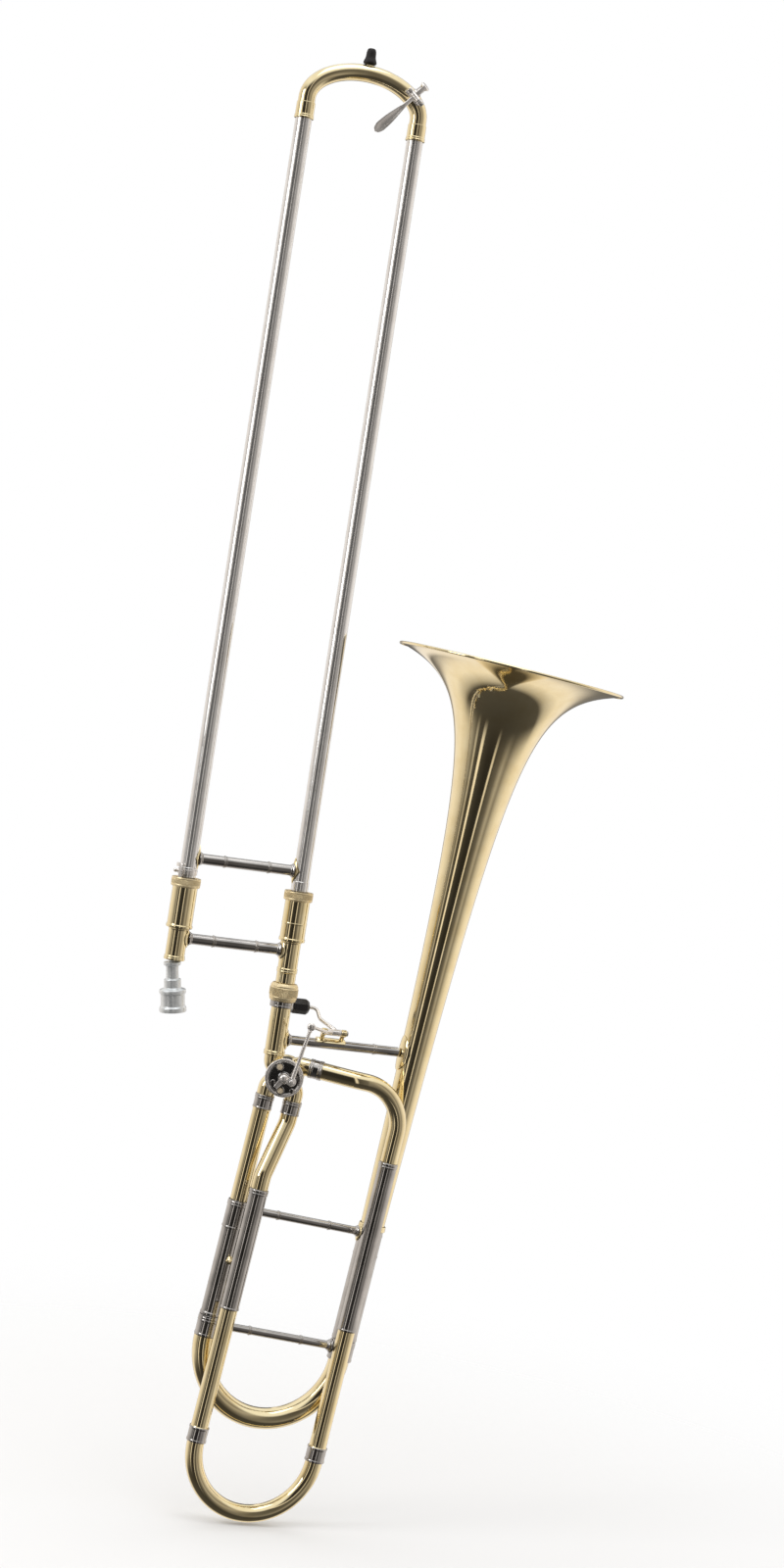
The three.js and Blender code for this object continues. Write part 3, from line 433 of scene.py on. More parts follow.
def brace(name, left, right, z, r, nodes, body, where=ROW, leaf=(7.2, 10.5), leaf_mat=BRASS, power=1.7):
    """A rod with beads between two tubes, and a soldered plate at each end. left and right are (x, radius)."""
    a = left[0] + left[1] + 0.6
    b = right[0] - right[1] - 0.6
    parts = [sweep(straight((a + 0.3, 0, z), (b - 0.3, 0, z)), r, None, 40)]
    for share in (0.27, 0.73):
        x = a + share * (b - a)
        parts.append(ring_on((x - 1.6, 0, z), (x + 1.6, 0, z), r + 0.7, 0.8))
        parts.append(ring_on((x - 0.6, 0, z), (x + 3.6, 0, z), r + 0.35, 0.6))
    for x, side in ((a, 1), (b, -1)):
        cup = [(0, 0), (r + 1.7, 0.0), (r + 1.5, 0.9), (r + 0.7, 1.7), (r + 0.5, 2.6), (r, 3.2), (0, 3.2)]
        way = ALONG_X if side > 0 else ALONG_X @ Matrix.Rotation(math.pi, 4, "X")
        parts.append(moved(lathe(cup, segs=40), Matrix.Translation((x + side * 0.4, 0, z)) @ way))
    piece(name, bars(*parts), where, NICKEL, body, nodes)
    for label, (x, tube_r), side in (("left", left, 1), ("right", right, -1)):
        plate = plate_on_tube(x, z, tube_r, side, leaf[0], leaf[1], power)
        piece(f"{name}_plate_{label}", plate, where, leaf_mat, body)


def knurl(count, depth, bottom, top):
    """Upright ridges between two heights."""
    def ripple(a, r, h):
        if h < bottom or h > top:
            return 0
        return depth * (abs(((a * count / (2 * math.pi)) % 1) * 2 - 1) - 0.5)
    return ripple


def box_part(lo, hi, bevel=0.4):
    """A block with bevelled edges, as verts and faces."""
    bm = bmesh.new()
    bmesh.ops.create_cube(bm, size=1)
    size = [h - l for l, h in zip(lo, hi)]
    centre = [(l + h) / 2 for l, h in zip(lo, hi)]
    for v in bm.verts:
        v.co = Vector([c + s * x for c, s, x in zip(centre, size, v.co)])
    bmesh.ops.bevel(bm, geom=bm.edges, offset=bevel, segments=3, affect="EDGES", profile=0.6)
    verts = [v.co.copy() for v in bm.verts]
    faces = [tuple(v.index for v in f.verts) for f in bm.faces]
    bm.free()
    return verts, faces


def ball_part(centre, r, sides=32):
    half = [(r * math.sin(math.pi * k / 16), -r * math.cos(math.pi * k / 16)) for k in range(17)]
    half[0], half[-1] = (0, -r), (0, r)
    return moved(revolve(half, sides, False), Matrix.Translation(centre))


# ---- Slide section: inner tubes, barrels, receiver and tenon ----
for side, x in (("left", LEFT), ("right", RIGHT)):
    turned(f"slide_inner_{side}", shell(6.4, 5.9, 47, 738), TUBE, "slide_section", [f"inner_tube_{side}"],
           at=(x, 0, 0))
    turned(f"barrel_felt_{side}", shell(9.6, 6.7, 53.3, 64), FELT, "slide_section", [f"slide_bumper_{side}"],
           at=(x, 0, 0), r=0.8)
    bead = [(10.85, 58.0), (11.1, 58.4), (11.1, 59.2), (10.85, 59.6)] if side == "right" else []
    barrel = [
        (6.7, 43), (11.2, 43), (11.5, 43.8), (11.5, 45.2), (11.0, 45.8), (10.85, 46.6), *bead,
        (10.85, 78.3), (10.85, 84), (9.9, 84), (9.9, 53), (6.7, 53),
    ]
    turned(f"barrel_{side}", barrel, BRASS, "slide_section", [f"cork_barrel_{side}"], at=(x, 0, 0), segs=96)

ring = [
    (11.25, 78.5), (12.0, 78.5), (12.6, 79.1), (12.65, 80.2), (12.45, 80.8), (12.55, 81.4), (12.55, 84.6),
    (12.45, 85.1), (12.7, 85.6), (12.5, 86.5), (10.2, 86.5), (9.9, 85.9), (9.9, 84.3), (11.25, 84.3),
]
ring_knurl = knurl(72, 0.32, 80.9, 85.0)
turned("barrel_collar_right", ring, SATIN, "slide_section", ["barrel_ring_right"], r=0.15, segs=360,
       ripple=ring_knurl)
turned("lock_ring", ring, SATIN, "slide_lock_ring", ["slide_lock_ring"], at=(LEFT, 0, 0), r=0.15, segs=360,
       ripple=ring_knurl)


def lofted(steps, count):
    """The faces of a bar through steps + 1 sections of count points each, closed at both ends."""
    faces = []
    for k in range(steps):
        for i in range(count):
            j = (i + 1) % count
            faces.append((k * count + i, (k + 1) * count + i, (k + 1) * count + j, k * count + j))
    return faces + [tuple(range(count)), tuple(steps * count + i for i in range(count))]


def arc_plate(r, bore, z0, z1, a0, a1, steps=14):
    """A curved bar standing round z, with slightly softened edges."""
    verts = []
    section = rounded([(bore, z0), (r, z0), (r, z1), (bore, z1)], 0.3)
    for k in range(steps + 1):
        a = math.radians(a0 + (a1 - a0) * k / steps)
        verts.extend((p[0] * math.cos(a), p[0] * math.sin(a), p[1]) for p in section)
    return verts, lofted(steps, len(section))


hook = bars(arc_plate(11.3, 10.1, 85.6, 99, 214, 232), arc_plate(11.3, 10.1, 95.6, 99, 192, 231.5))
piece("lock_hook", hook, ROW @ Matrix.Translation((LEFT, 0, 0)), SATIN_NICKEL_PAINTED_LIGHT, "slide_lock_ring")

receiver = [
    (6.9, 15), (8.9, 15), (9.2, 15.5), (9.2, 16.6), (8.85, 17.2), (9.0, 17.8), (9.0, 18.4), (8.5, 18.9),
    (8.5, 41.2), (8.9, 41.8), (8.9, 42.7), (6.2, 42.7), (6.2, 26),
]
turned("mouthpiece_socket", receiver, BRASS, "slide_section", ["mouthpiece_receiver"], at=(LEFT, 0, 0), segs=96)
tenon = [
    (5.9, -34), (6.6, -34), (6.8, -33.4), (6.8, 0.3), (8.9, 0.3), (8.9, 1.8), (6.8, 1.8), (6.8, 6.3), (8.5, 6.3),
    (8.5, 15.2), (9.1, 15.6), (9.1, 16.7), (8.7, 17.2), (9.1, 17.7), (9.1, 18.8), (8.5, 19.4), (8.5, 41.2),
    (8.9, 41.8), (8.9, 42.7), (5.9, 42.7),
]
turned("joint_tenon", tenon, BRASS, "slide_section", ["slide_tenon"], segs=96)
brace("hand_brace_inner", (LEFT, 8.5), (RIGHT, 8.5), 34.5, 4.6, ["inner_brace"], "slide_section", leaf=(8.5, 8.2),
      power=1.15)

nut = [
    (10.1, -9.5), (10.9, -9.5), (11.5, -8.9), (12.1, -6.6), (12.1, -5.9), (11.85, -5.5), (12.35, -4.9),
    (12.35, 1.9), (11.85, 2.5), (12.1, 2.9), (12.1, 3.6), (10.6, 6), (7.1, 6), (7.1, 2.1), (10.1, 2.1),
]
turned("joint_nut", nut, SATIN, "bell_lock_nut", ["bell_lock_nut"], r=0.2, segs=320,
       ripple=knurl(64, 0.45, -4.8, 1.8))

plug = [
    (0, 7.5), (2.5, 7.5), (3, 6.5), (3, -1.8), (7.4, -1.8), (7.4, -4.8), (5.5, -5.3), (5.35, -11), (5.5, -16.6),
    (7.4, -17), (7.4, -24.4), (11.5, -26), (11.5, -29.2), (10.4, -29.8), (10.4, -40.0), (11.7, -41.4),
    (11.7, -45.2), (9.4, -45.2), (9.2, -30.4), (0, -30.4),
]
turned("socket_plug", plug, GREY, "receiver_plug", ["receiver_plug"], where=PLUG, r=0.7, segs=96)

# ---- Outer slide ----
for side, x in (("left", LEFT), ("right", RIGHT)):
    outer = [(6.75, 64.5), (7.2, 64.5), (7.2, 86.8), (7.55, 87.2), (7.55, 95.4), (7.2, 95.8), (7.2, 746),
             (7.2, 754.8), (6.75, 754.8)]
    turned(f"slide_outer_{side}", outer, TUBE, "outer_slide", [f"outer_tube_{side}"], at=(x, 0, 0), r=0.15,
           segs=72)
    ferrule = [(7.7, 747.7), (8.3, 747.7), (8.6, 748.3), (8.6, 749.1), (8.15, 749.6), (8.35, 750.1), (8.35, 750.8),
               (8.05, 751.3), (8.05, 761.2), (7.9, 762), (7.7, 762)]
    turned(f"bow_ferrule_{side}", ferrule, BRASS, "outer_slide", [f"crook_ferrule_{side}"], at=(x, 0, 0),
           r=0.2)
brace("hand_brace_outer", (LEFT, 7.2), (RIGHT, 7.2), 104, 4.6, ["outer_brace"], "outer_slide", leaf=(7.4, 11.5),
      power=1.9)
catch_pin = sweep(straight((-8, 0, 91.8), (-11.2, 0, 91.8)), 1.4, None, 24)
catch = bars(lathe(shell(8.45, 7.5, 89.4, 93.8)), catch_pin, ball_part((-10.9, 0, 91.8), 1.7))
piece("lock_catch", catch, ROW @ Matrix.Translation((LEFT, 0, 0)), SATIN_NICKEL_PAINTED_LIGHT, "outer_slide", ["slide_lock_catch"])

crook = [(Vector((LEFT, 0, 755.2)), Vector((0, 0, 1)))]
for k in range(73):
    a = math.pi * (1 - k / 72)
    crook.append((
        Vector((MIDDLE - MIDDLE * math.cos(a), 0, CROOK_Z + CROOK_RISE * math.sin(a))),
        Vector((-MIDDLE * math.sin(a), 0, -CROOK_RISE * math.cos(a))).normalized(),
    ))
crook.append((Vector((RIGHT, 0, 755.2)), Vector((0, 0, -1))))


def drain(s):
    """A point s along the drain nipple from the centre of the crook's tube, in the key's frame."""
    return Vector((0, 12 - s * 0.5, -s * math.cos(math.radians(30))))


CROOK_TOP = CROOK_Z + CROOK_RISE + CROOK_R
swept("slide_bow", crook, CROOK_R, BRASS, "outer_slide", ["slide_crook"], bore=6.8, sides=56)
nipple = [(1.6, 0), (4.2, 0), (4.3, 0.8), (3.1, 1.9), (2.9, 2.6), (2.9, 6.4), (2.5, 6.9), (1.6, 6.9)]
drain_way = turn_to(drain(1) - drain(0))
turned("drain_nipple", nipple, NICKEL, "outer_slide", where=KEY, at=drain(6.6), way=drain_way, r=0.2, segs=48)
turned("bumper_boss", [(0, -2.5), (4.6, -2.5), (4.4, -0.4), (3.6, 0.5), (0, 0.5)], BRASS, "outer_slide",
       at=(MIDDLE, 0, CROOK_TOP), r=0.3, segs=48)
tip = [(0, 0), (5.0, 0), (5.8, 0.9), (5.75, 2.2), (5.2, 3.8), (4.55, 5.4), (4.3, 7.4), (4.25, 9.6), (4.0, 11.6),
       (3.3, 13.2), (2.6, 13.8), (0, 13.8)]
turned("bow_bumper", tip, RUBBER, "outer_slide", ["crook_bumper"], at=(MIDDLE, 0, CROOK_TOP + 0.8), r=0.8, segs=64)

# ---- Water key ----
posts = []
for side in (-1, 1):
    ear = lathe(shell(2.6, 1.35, 0, 3), segs=32)
    posts.append(moved(ear, Matrix.Translation((side * 6.7 - 1.5, 0, 0)) @ ALONG_X))
    lo_x, hi_x = sorted((side * 5.2, side * 8.2))
    posts.append(box_part((lo_x, 1.9, -2.1), (hi_x, 3.6, 2.1), 0.4))
saddle = bars(box_part((-8.2, 2.8, -3.2), (8.2, 4.4, 3.2), 0.6), *posts)
piece("key_saddle", saddle, KEY, SATIN_NICKEL_PAINTED_LIGHT, "outer_slide", ["water_key_saddle"])
pin = lathe(shell(1.05, 0, -9.5, 8.4), 0.2, 24)
head = lathe([(0.6, -8.6), (2.2, -8.6), (2.2, -10.1), (1.9, -10.4), (0.6, -10.4)], 0.2, 32)
piece("key_pin", moved(bars(pin, head), ALONG_X), KEY, STEEL, "outer_slide", ["water_key_pin"])


def spoon_part():
    """The finger spoon: a dished teardrop on a neck, from the barrel along z."""
    length, across = 40, 14
    verts, faces = [], []
    for layer in (0, 1):
        for i in range(length + 1):
            f = i / length
            z = 1.5 + f * 46.5
            swell = max(0.0, (f - 0.12) / 0.88)
            half = 1.7 + 2.7 * math.sin(min(1.0, swell * 1.35) * math.pi / 2) ** 2
            if f > 0.82:
                half *= math.sqrt(max(0.0, 1 - ((f - 0.82) / 0.18) ** 2)) + 0.02
            dish = 1.1 * math.sin(min(1.0, max(0.0, (f - 0.25) / 0.2)) * math.pi / 2) * min(1.0, (1 - f) * 6)
            rise = -0.2 - 0.6 * math.sin(f * math.pi)
            for k in range(across + 1):
                u = 2 * k / across - 1
                y = rise + dish * (1 - u * u) * 0.8
                thick = 0.75 * math.sqrt(max(0.05, 1 - u ** 4))
                verts.append((u * half, y + (thick if layer else -thick) * 0.8, z))
    per = (length + 1) * (across + 1)
    row = across + 1
    for layer in (0, 1):
        for i in range(length):
            for k in range(across):
                q = layer * per + i * row + k
                faces.append((q, q + 1, q + row + 1, q + row))
    for i in range(length):
        for k in (0, across):
            q = i * row + k
            faces.append((q, q + row, per + q + row, per + q))
    for i in (0, length):
        for k in range(across):
            q = i * row + k
            faces.append((q, q + 1, per + q + 1, per + q))
    return verts, faces


def barrel_ripple(a, r, h):
    return 0.12 * math.cos(h * 2 * math.pi / 0.9) if r > 2 and abs(h) < 4.2 else 0


barrel_profile = [(1.35, -4.8)] + [(2.3, -4.8 + 0.16 * k) for k in range(61)] + [(1.35, 4.8)]
cork_holder = lathe([(0, 0), (4.6, 0), (4.7, 0.5), (4.3, 1.5), (2.6, 1.8), (0, 1.9)], segs=48)
key = bars(
    moved(revolve([Vector(p) for p in barrel_profile], 32, True, barrel_ripple), ALONG_X),
    spoon_part(),
    box_part((-1.9, -1.1, -12.6), (1.9, 1.1, -1.2), 0.5),
    moved(cork_holder, Matrix.Translation(drain(15.4)) @ drain_way),
)
piece("drain_key", key, KEY, SATIN_NICKEL_PAINTED_LIGHT, "water_key", ["water_key"])
turned("drain_cork", shell(3.3, 0, 0, 1.3), CORK, "water_key", ["water_key_cork"], where=KEY,
       at=drain(13.8), way=drain_way, r=0.25, segs=40)

# ---- Joint and gooseneck ----
collar = [(7.2, -15), (10.1, -15), (10.4, -14.6), (10.4, -13.2), (10.1, -12.8), (10.4, -12.4), (10.4, -9.8),
          (9.75, -9.7), (9.75, 0), (7.2, 0)]
turned("joint_collar", collar, NICKEL, "bell_section", ["slide_receiver"], r=0.2, segs=96)
neck = [(8.0, -57), (9.2, -57), (9.4, -56.6), (9.4, -55.4), (9.0, -54.9), (9.4, -54.4), (9.4, -53.6), (8.7, -53.0),
        (8.7, -15.3), (8.0, -15.3)]
turned("goose_tube", neck, BRASS, "bell_section", ["gooseneck"], r=0.2, segs=96)

# ---- Rotor valve ----
ROW_TO_VALVE = VALVE.inverted() @ ROW
BELL_TO_VALVE = VALVE.inverted() @ BELL
outlet_start = Vector((14, 0, 11.8))
outlet_way = (Vector((66, -21, 11.8)) - outlet_start).normalized()
casing = [(14.6, -11), (14.6, 14.2), (16.2, 14.2), (16.6, 13.8), (16.6, 12.2), (16.15, 11.7), (16.15, -11.4),
          (16.6, -12), (16.6, -13.6), (16.2, -14), (3.4, -14), (3.4, -11)]
casing_part = moved(lathe(casing, 0.25, 128), ALONG_Y)
MAIN_X, RETURN_X, RETURN_Y = -6.5, 17.3, -6


def port(inner, corner, end, r, to_valve):
    """A bent port from inside the casing to the tube that meets it."""
    return sweep(bent([inner, to_valve @ Vector(corner), to_valve @ Vector(end)], [9]), r, None, 48)


ports = [
    port((-4.5, 0, 2.5), (0, 0, -64.3), (0, 0, -57.3), 8.1, ROW_TO_VALVE),
    port((-4.5, 0, -1.5), (MAIN_X, 0, -9.5), (MAIN_X, 0, -18.7), 7.8, BELL_TO_VALVE),
    port((3, 0, -2), (RETURN_X, RETURN_Y, -10.5), (RETURN_X, RETURN_Y, -18.7), 7.6, BELL_TO_VALVE),
    port((2, 0, 2), outlet_start, outlet_start + outlet_way * 12, 7.6, BELL_TO_VALVE),
]
piece("valve_casing", bars(casing_part, *ports), VALVE, BRASS, "bell_section", ["rotor_casing"])
turned("valve_bearing_plate", shell(14.3, 3.2, 10.9, 13.3), SATIN, "bell_section", ["rotor_bearing_plate"],
       where=VALVE, way=ALONG_Y, segs=96)
cap = [(0, 14.3), (16.6, 14.3), (16.9, 14.7), (16.9, 16.2), (16.2, 17.1), (14.6, 17.5), (13.8, 17.2), (7, 17.3),
       (6.4, 17.6), (0, 17.6)]
turned("valve_cap", cap, BRASS, "bell_section", ["rotor_rear_cap"], where=VALVE, way=ALONG_Y, r=0.4, segs=240,
       ripple=lambda a, r, h: 0.12 * math.cos(a * 60) if r > 16.7 else 0)
spindle = y_disc(0, 0, 2.6, -22, 13.2, sides=32, soft=0.3)
piece("valve_rotor", bars(y_disc(0, 0, 14.2, -10.7, 10.6, sides=96), spindle), VALVE, STEEL, "rotor", ["rotor"])

plate = [(3.6, -14.3), (15.9, -14.3), (16.0, -14.9), (15.6, -15.8), (14.2, -15.9), (13.4, -15.5), (12.9, -15.35),
         (5.4, -15.35), (4.9, -15.7), (3.6, -15.7)]
# The valve face takes the darker nickel: a painted dark reflection.
turned("valve_face", plate, NICKEL_PAINTED_DARK, "bell_section", ["stop_plate"], where=VALVE, way=ALONG_Y, r=0.2, segs=128)
rim = [(13.6, -15.6), (16.1, -14.3), (16.9, -14.4), (16.9, -15.6), (16.4, -16.3), (15.0, -16.5), (14.0, -16.2)]
turned("valve_rim", rim, SATIN_NICKEL_PAINTED_LIGHT, "bell_section", where=VALVE, way=ALONG_Y, r=0.35, segs=128)


def screw_part(x, z, r, y, depth, turn):
    """A screw head facing -y, and a black bar on it where its slot is: painted shade of the slot."""
    head = lathe([(0, 0), (r, 0), (r, depth * 0.6), (r * 0.8, depth), (0, depth)], segs=32)
    place = Matrix.Translation((x, y, z)) @ Matrix.Rotation(math.radians(90), 4, "X")
    slot_shade = box_part((-r * 0.95, -0.22, depth - 0.08), (r * 0.95, 0.22, depth + 0.12), 0.04)
    return moved(head, place), moved(moved(slot_shade, Matrix.Rotation(turn, 4, "Z")), place)


screws, slot_shade_bars = [], []
for x, z, turn in ((-8.6, -5.4, 0.6), (9.2, -9.2, 2.0)):
    a, b = screw_part(x, z, 2.3, -15.4, 1.7, turn)
    screws.append(a)
    slot_shade_bars.append(b)
piece("plate_screws", bars(*screws), VALVE, NICKEL, "bell_section")
# Black bars on the screw heads: painted shade where the slots are.
piece("plate_screw_slot_shade", bars(*slot_shade_bars), VALVE, RUBBER, "bell_section")
for label, x, z in (("upper", -5.8, 8.7), ("lower", -0.6, -11)):
    turned(f"stop_cork_{label}", shell(2.45, 0, -18.9, -16.1), CORK, "bell_section",
           [f"stop_bumper_{label}"], where=VALVE, at=(x, 0, z), way=ALONG_Y, r=0.4, segs=40)
    turned(f"cork_holder_{label}", shell(3.5, 2.55, -16.0, -17.6), NICKEL, "bell_section", where=VALVE,
           at=(x, 0, z), way=ALONG_Y, r=0.25, segs=40)

# Stop arm and linkage, drawn from the rotor axis
ARM = math.radians(-5)
STUD = Vector((7 * math.cos(ARM), 0, 7 * math.sin(ARM)))
TAIL = math.radians(235)
TAIL_END = Vector((11 * math.cos(TAIL), 0, 11 * math.sin(TAIL)))
BALL = Vector((21.8, -27, -25.4))
BALL_IN_ARM = ARM_FRAME.inverted() @ ROW @ BALL
ROD_Y = -29.3


def flat_bar(a, b, width_a, width_b, y0, y1):
    """A tapered bar in a plane of constant y with softened edges."""
    d = (b - a).normalized()
    s = Vector((d.z, 0, -d.x))
    length = (b - a).length
    verts, steps = [], 8
    section = rounded([(-0.5, 0), (0.5, 0), (0.5, 1), (-0.5, 1)], 0.18)
    for k in range(steps + 1):
        f = k / steps
        w = width_a + (width_b - width_a) * f
        for u, v in section:
            p = a + d * (length * f) + s * (u * w)
            verts.append((p.x, y0 + (y1 - y0) * v, p.z))
    return verts, lofted(steps, len(section))


arm = bars(
    y_disc(0, 0, 4.6, -21.2, -17.4, 2.75),
    flat_bar(STUD * 0.55, STUD, 5.6, 4.6, -21.2, -19.2),
    y_disc(STUD.x, STUD.z, 2.9, -21.2, -19.2),
    y_disc(STUD.x, STUD.z, 1.95, ROD_Y - 2.2, -20.0, sides=32),
    y_disc(STUD.x, STUD.z, 3.0, ROD_Y - 2.8, ROD_Y - 1.7),
    flat_bar(TAIL_END * 0.36, TAIL_END, 5.0, 3.8, -20, -17.6),
)
piece("valve_arm", arm, ARM_FRAME, SATIN_NICKEL_PAINTED_LIGHT, "rotor", ["stop_arm"])


def dome(x, z, r, y, height, sides=40):
    """A domed head facing -y."""
    half = [(r * math.sin(math.pi / 2 * k / 8), -height * math.cos(math.pi / 2 * k / 8)) for k in range(9)]
    half[0] = (0, -height)
    profile = half + [(r, 0.4), (0, 0.4)]
    return moved(revolve(profile, sides, False), Matrix.Translation((x, y, z)) @ ALONG_Y)


heads = bars(dome(0, 0, 3.7, -21.3, 2.0), dome(STUD.x, STUD.z, 1.9, ROD_Y - 2.8, 0.9, 24))
piece("valve_arm_screw", heads, ARM_FRAME, SATIN_NICKEL_PAINTED_LIGHT, "rotor")

rod_a = Vector((STUD.x, ROD_Y, STUD.z))
rod_b = Vector((BALL_IN_ARM.x, ROD_Y, BALL_IN_ARM.z))
rod_way = (rod_b - rod_a).normalized()
cup = moved(ball_part((0, 0, 0), 3.5), Matrix.Translation(rod_b) @ Matrix.Diagonal((1, 0.5, 1, 1)))
rod = bars(
    sweep(straight(rod_a + rod_way * 3.0, rod_b - rod_way * 2.2, 8), lambda f: 1.85 - 0.45 * f, None, 32),
    y_disc(STUD.x, STUD.z, 4.1, ROD_Y - 1.4, ROD_Y + 1.4, 2.25, 56, 1.0),
    cup,
    ring_on(rod_b - rod_way * 4.6, rod_b - rod_way * 3.4, 2.0, 0.6),
)
piece("valve_rod", rod, ARM_FRAME, SATIN_NICKEL_PAINTED_LIGHT, "linkage_rod", ["linkage_rod"])

# ---- Tubes below the valve ----
def bell_tube(name, profile, mat, body, x, y=0.0, nodes=()):
    """A tube turned round an upright of the bell frame."""
    turned(name, profile, mat, body, nodes, where=BELL, at=(x, y, 0), r=0.2, segs=72)


main = [(7.1, -113.2), (7.7, -113.2), (7.7, -32.4), (8.0, -31.9), (8.35, -31.6), (8.35, -30.4), (8.1, -29.8),
        (8.1, -22.6), (8.35, -22.2), (8.35, -21.2), (8.05, -20.8), (8.35, -20.4), (8.35, -19.4), (8.1, -19),
        (7.1, -19)]
bell_tube("neck_tube", main, BRASS, "bell_section", MAIN_X, nodes=["main_tube"])
sleeve = [(7.75, -31.0), (8.5, -31.0), (8.6, -30.4), (8.25, -29.7), (8.25, -23.0), (8.6, -22.4), (8.6, -21.6),
          (8.3, -21.1), (8.6, -20.6), (8.6, -19.6), (8.3, -19.1), (7.75, -19.1)]


def nickel_sleeve(name, x, y, r_shift=0.0):
    profile = [(r + r_shift, h) for r, h in sleeve]
    bell_tube(name, profile, NICKEL, "bell_section", x, y)


nickel_sleeve("neck_sleeve", MAIN_X, 0)
F_Y, F_L, F_R, R_F = -21, 2.8, 111.8, 7.6
returning = bent([(RETURN_X, RETURN_Y, -19), (RETURN_X, RETURN_Y, -38), (F_L, F_Y, -85), (F_L, F_Y, -96.7)],
                 [16, 16])
swept("f_return", returning, R_F, BRASS, "bell_section", ["f_return_tube"], bore=7.0, where=BELL, sides=48)
nickel_sleeve("f_return_sleeve", RETURN_X, RETURN_Y, -0.1)
outlet_from = outlet_start + outlet_way * 12.3
outlet = bent([outlet_from, (66, F_Y, 11.8), (F_R, F_Y, 11.8), (F_R, F_Y, -52.2)], [40, 37.5])
swept("f_outlet", outlet, R_F, BRASS, "bell_section", ["f_outlet_tube"], bore=7.0, where=BELL, sides=48)
long_sleeve = [(7.65, 0), (8.3, 0), (8.5, 0.5), (8.5, 1.3), (8.2, 1.8), (8.5, 2.3), (8.5, 3.1), (8.15, 3.6),
               (8.15, 8.2), (8.5, 8.7), (8.5, 9.5), (8.2, 10.0), (8.5, 10.5), (8.5, 11.3), (8.2, 11.7),
               (7.65, 11.7)]
turned("f_outlet_sleeve", long_sleeve, NICKEL, "bell_section", where=BELL @ Matrix.Translation(outlet_from),
       way=turn_to(outlet_way), r=0.2, segs=72)
for label, x, top in (("left", F_L, -97), ("right", F_R, -52.5)):
    leg = [(7.45, -203), (8.2, -203), (8.5, -202.6), (8.5, -201.6), (8.1, -201.0), (8.1, top - 4.6),
           (8.5, top - 4.1), (8.5, top - 3.3), (8.15, top - 2.8), (8.6, top - 2.2), (8.6, top - 0.9),
           (8.2, top), (7.45, top)]
    bell_tube(f"f_leg_tube_{label}", leg, NICKEL, "bell_section", x, F_Y, [f"f_leg_{label}"])
    inner = [(6.5, -319.6), (8.0, -319.6), (8.5, -319.0), (8.5, -317.8), (8.2, -317.2), (8.2, -309.2),
             (8.5, -308.6), (8.5, -307.4), (7.9, -306.6), (7.6, -306), (7.6, -203.3), (7.1, -203.3),
             (7.1, -110), (6.5, -110)]
    bell_tube(f"f_slide_tube_{label}", inner, BRASS, "f_tuning_slide", x, F_Y, [f"f_slide_leg_{label}"])
    band = [(8.25, -319.8), (8.7, -319.8), (8.8, -319.2), (8.8, -318.2), (8.45, -317.6), (8.45, -308.8),
            (8.8, -308.2), (8.8, -307.2), (8.5, -306.6), (8.25, -306.6)]
    bell_tube(f"f_slide_band_{label}", band, NICKEL, "f_tuning_slide", x, F_Y)


def bow_route(x0, x1, y, z):
    radius = (x1 - x0) / 2
    return bent([(x0, y, z), (x0, y, z - radius), (x1, y, z - radius), (x1, y, z)], [radius, radius], 28)


swept("f_slide_bow", bow_route(F_L, F_R, F_Y, -320), R_F, BRASS, "f_tuning_slide", ["f_bow"], bore=7.0,
      where=BELL, sides=56)

# ---- Main tuning slide ----
BELL_X = 118.6
left_leg = [
    (7.9, -215.4), (8.9, -215.4), (9.2, -215.0), (9.2, -213.2), (8.8, -212.6), (8.6, -212.2), (8.6, -138),
    (9.2, -137.6), (9.2, -136.6), (8.85, -136.0), (8.85, -118.6), (9.2, -118.1), (9.2, -117.0),
    (8.9, -116.6), (9.2, -116.2), (9.2, -115.0), (8.9, -114.4), (8.9, -113.5), (7.9, -113.5),
]
bell_tube("tuning_tube_left", left_leg, NICKEL, "bell_section", MAIN_X, nodes=["tuning_leg_left"])
right_leg = [
    (9.9, -215.4), (10.8, -215.4), (11.1, -215.0), (11.1, -213.2), (10.8, -212.6), (10.8, -140), (11.1, -139.4),
    (11.1, -138.2), (10.8, -137.6), (10.8, -121.6), (11.1, -121.0), (11.1, -119.8), (10.8, -119.2), (10.8, -116.3),
    (9.9, -116.3),
]
bell_tube("tuning_tube_right", right_leg, NICKEL, "bell_section", BELL_X, nodes=["tuning_leg_right"])
for label, x, tube_r, big in (("left", MAIN_X, 7.5, 9.3), ("right", BELL_X, 9.5, 10.7)):
    leg = [
        (tube_r - 0.7, -233.7), (big, -233.7), (big + 0.3, -233.2), (big + 0.3, -232.0), (big, -231.4),
        (big, -221.6), (big + 0.3, -221.0), (big + 0.3, -219.9), (big, -219.4), (big + 0.3, -218.9),
        (big + 0.3, -217.8), (big, -217.2), (big, -215.7), (tube_r, -215.7), (tube_r, -130), (tube_r - 0.7, -130),
    ]
    bell_tube(f"tuning_inner_{label}", leg, NICKEL, "main_tuning_slide", x, nodes=[f"tuning_slide_leg_{label}"])
swept("tuning_slide_bow", bow_route(MAIN_X, BELL_X, 0, -234), 9.2, BRASS, "main_tuning_slide", ["tuning_bow"],
      bore=8.6, where=BELL, sides=56)
brace("tuning_brace_low", (MAIN_X, 9.6), (BELL_X, 11.0), -223, 3.5, ["tuning_slide_brace"], "main_tuning_slide",
      where=BELL, leaf=(6.0, 6.4), leaf_mat=NICKEL, power=1.2)
brace("tuning_brace_high", (MAIN_X, 9.2), (BELL_X, 11.1), -120, 3.5, ["tuning_brace"], "bell_section", where=BELL,
      leaf=(6.4, 8.6), power=1.5)

# ---- Bell: the radius falls off as a power of the distance from the rim ----
RIM_Z, RIM_R, TAIL_Z = 392.7, 101.6, -116
FLARE_REACH, FLARE_POWER, WALL = 17, 0.66, 0.5


def bell_radius(d):
    return RIM_R * (1 + d / FLARE_REACH) ** -FLARE_POWER


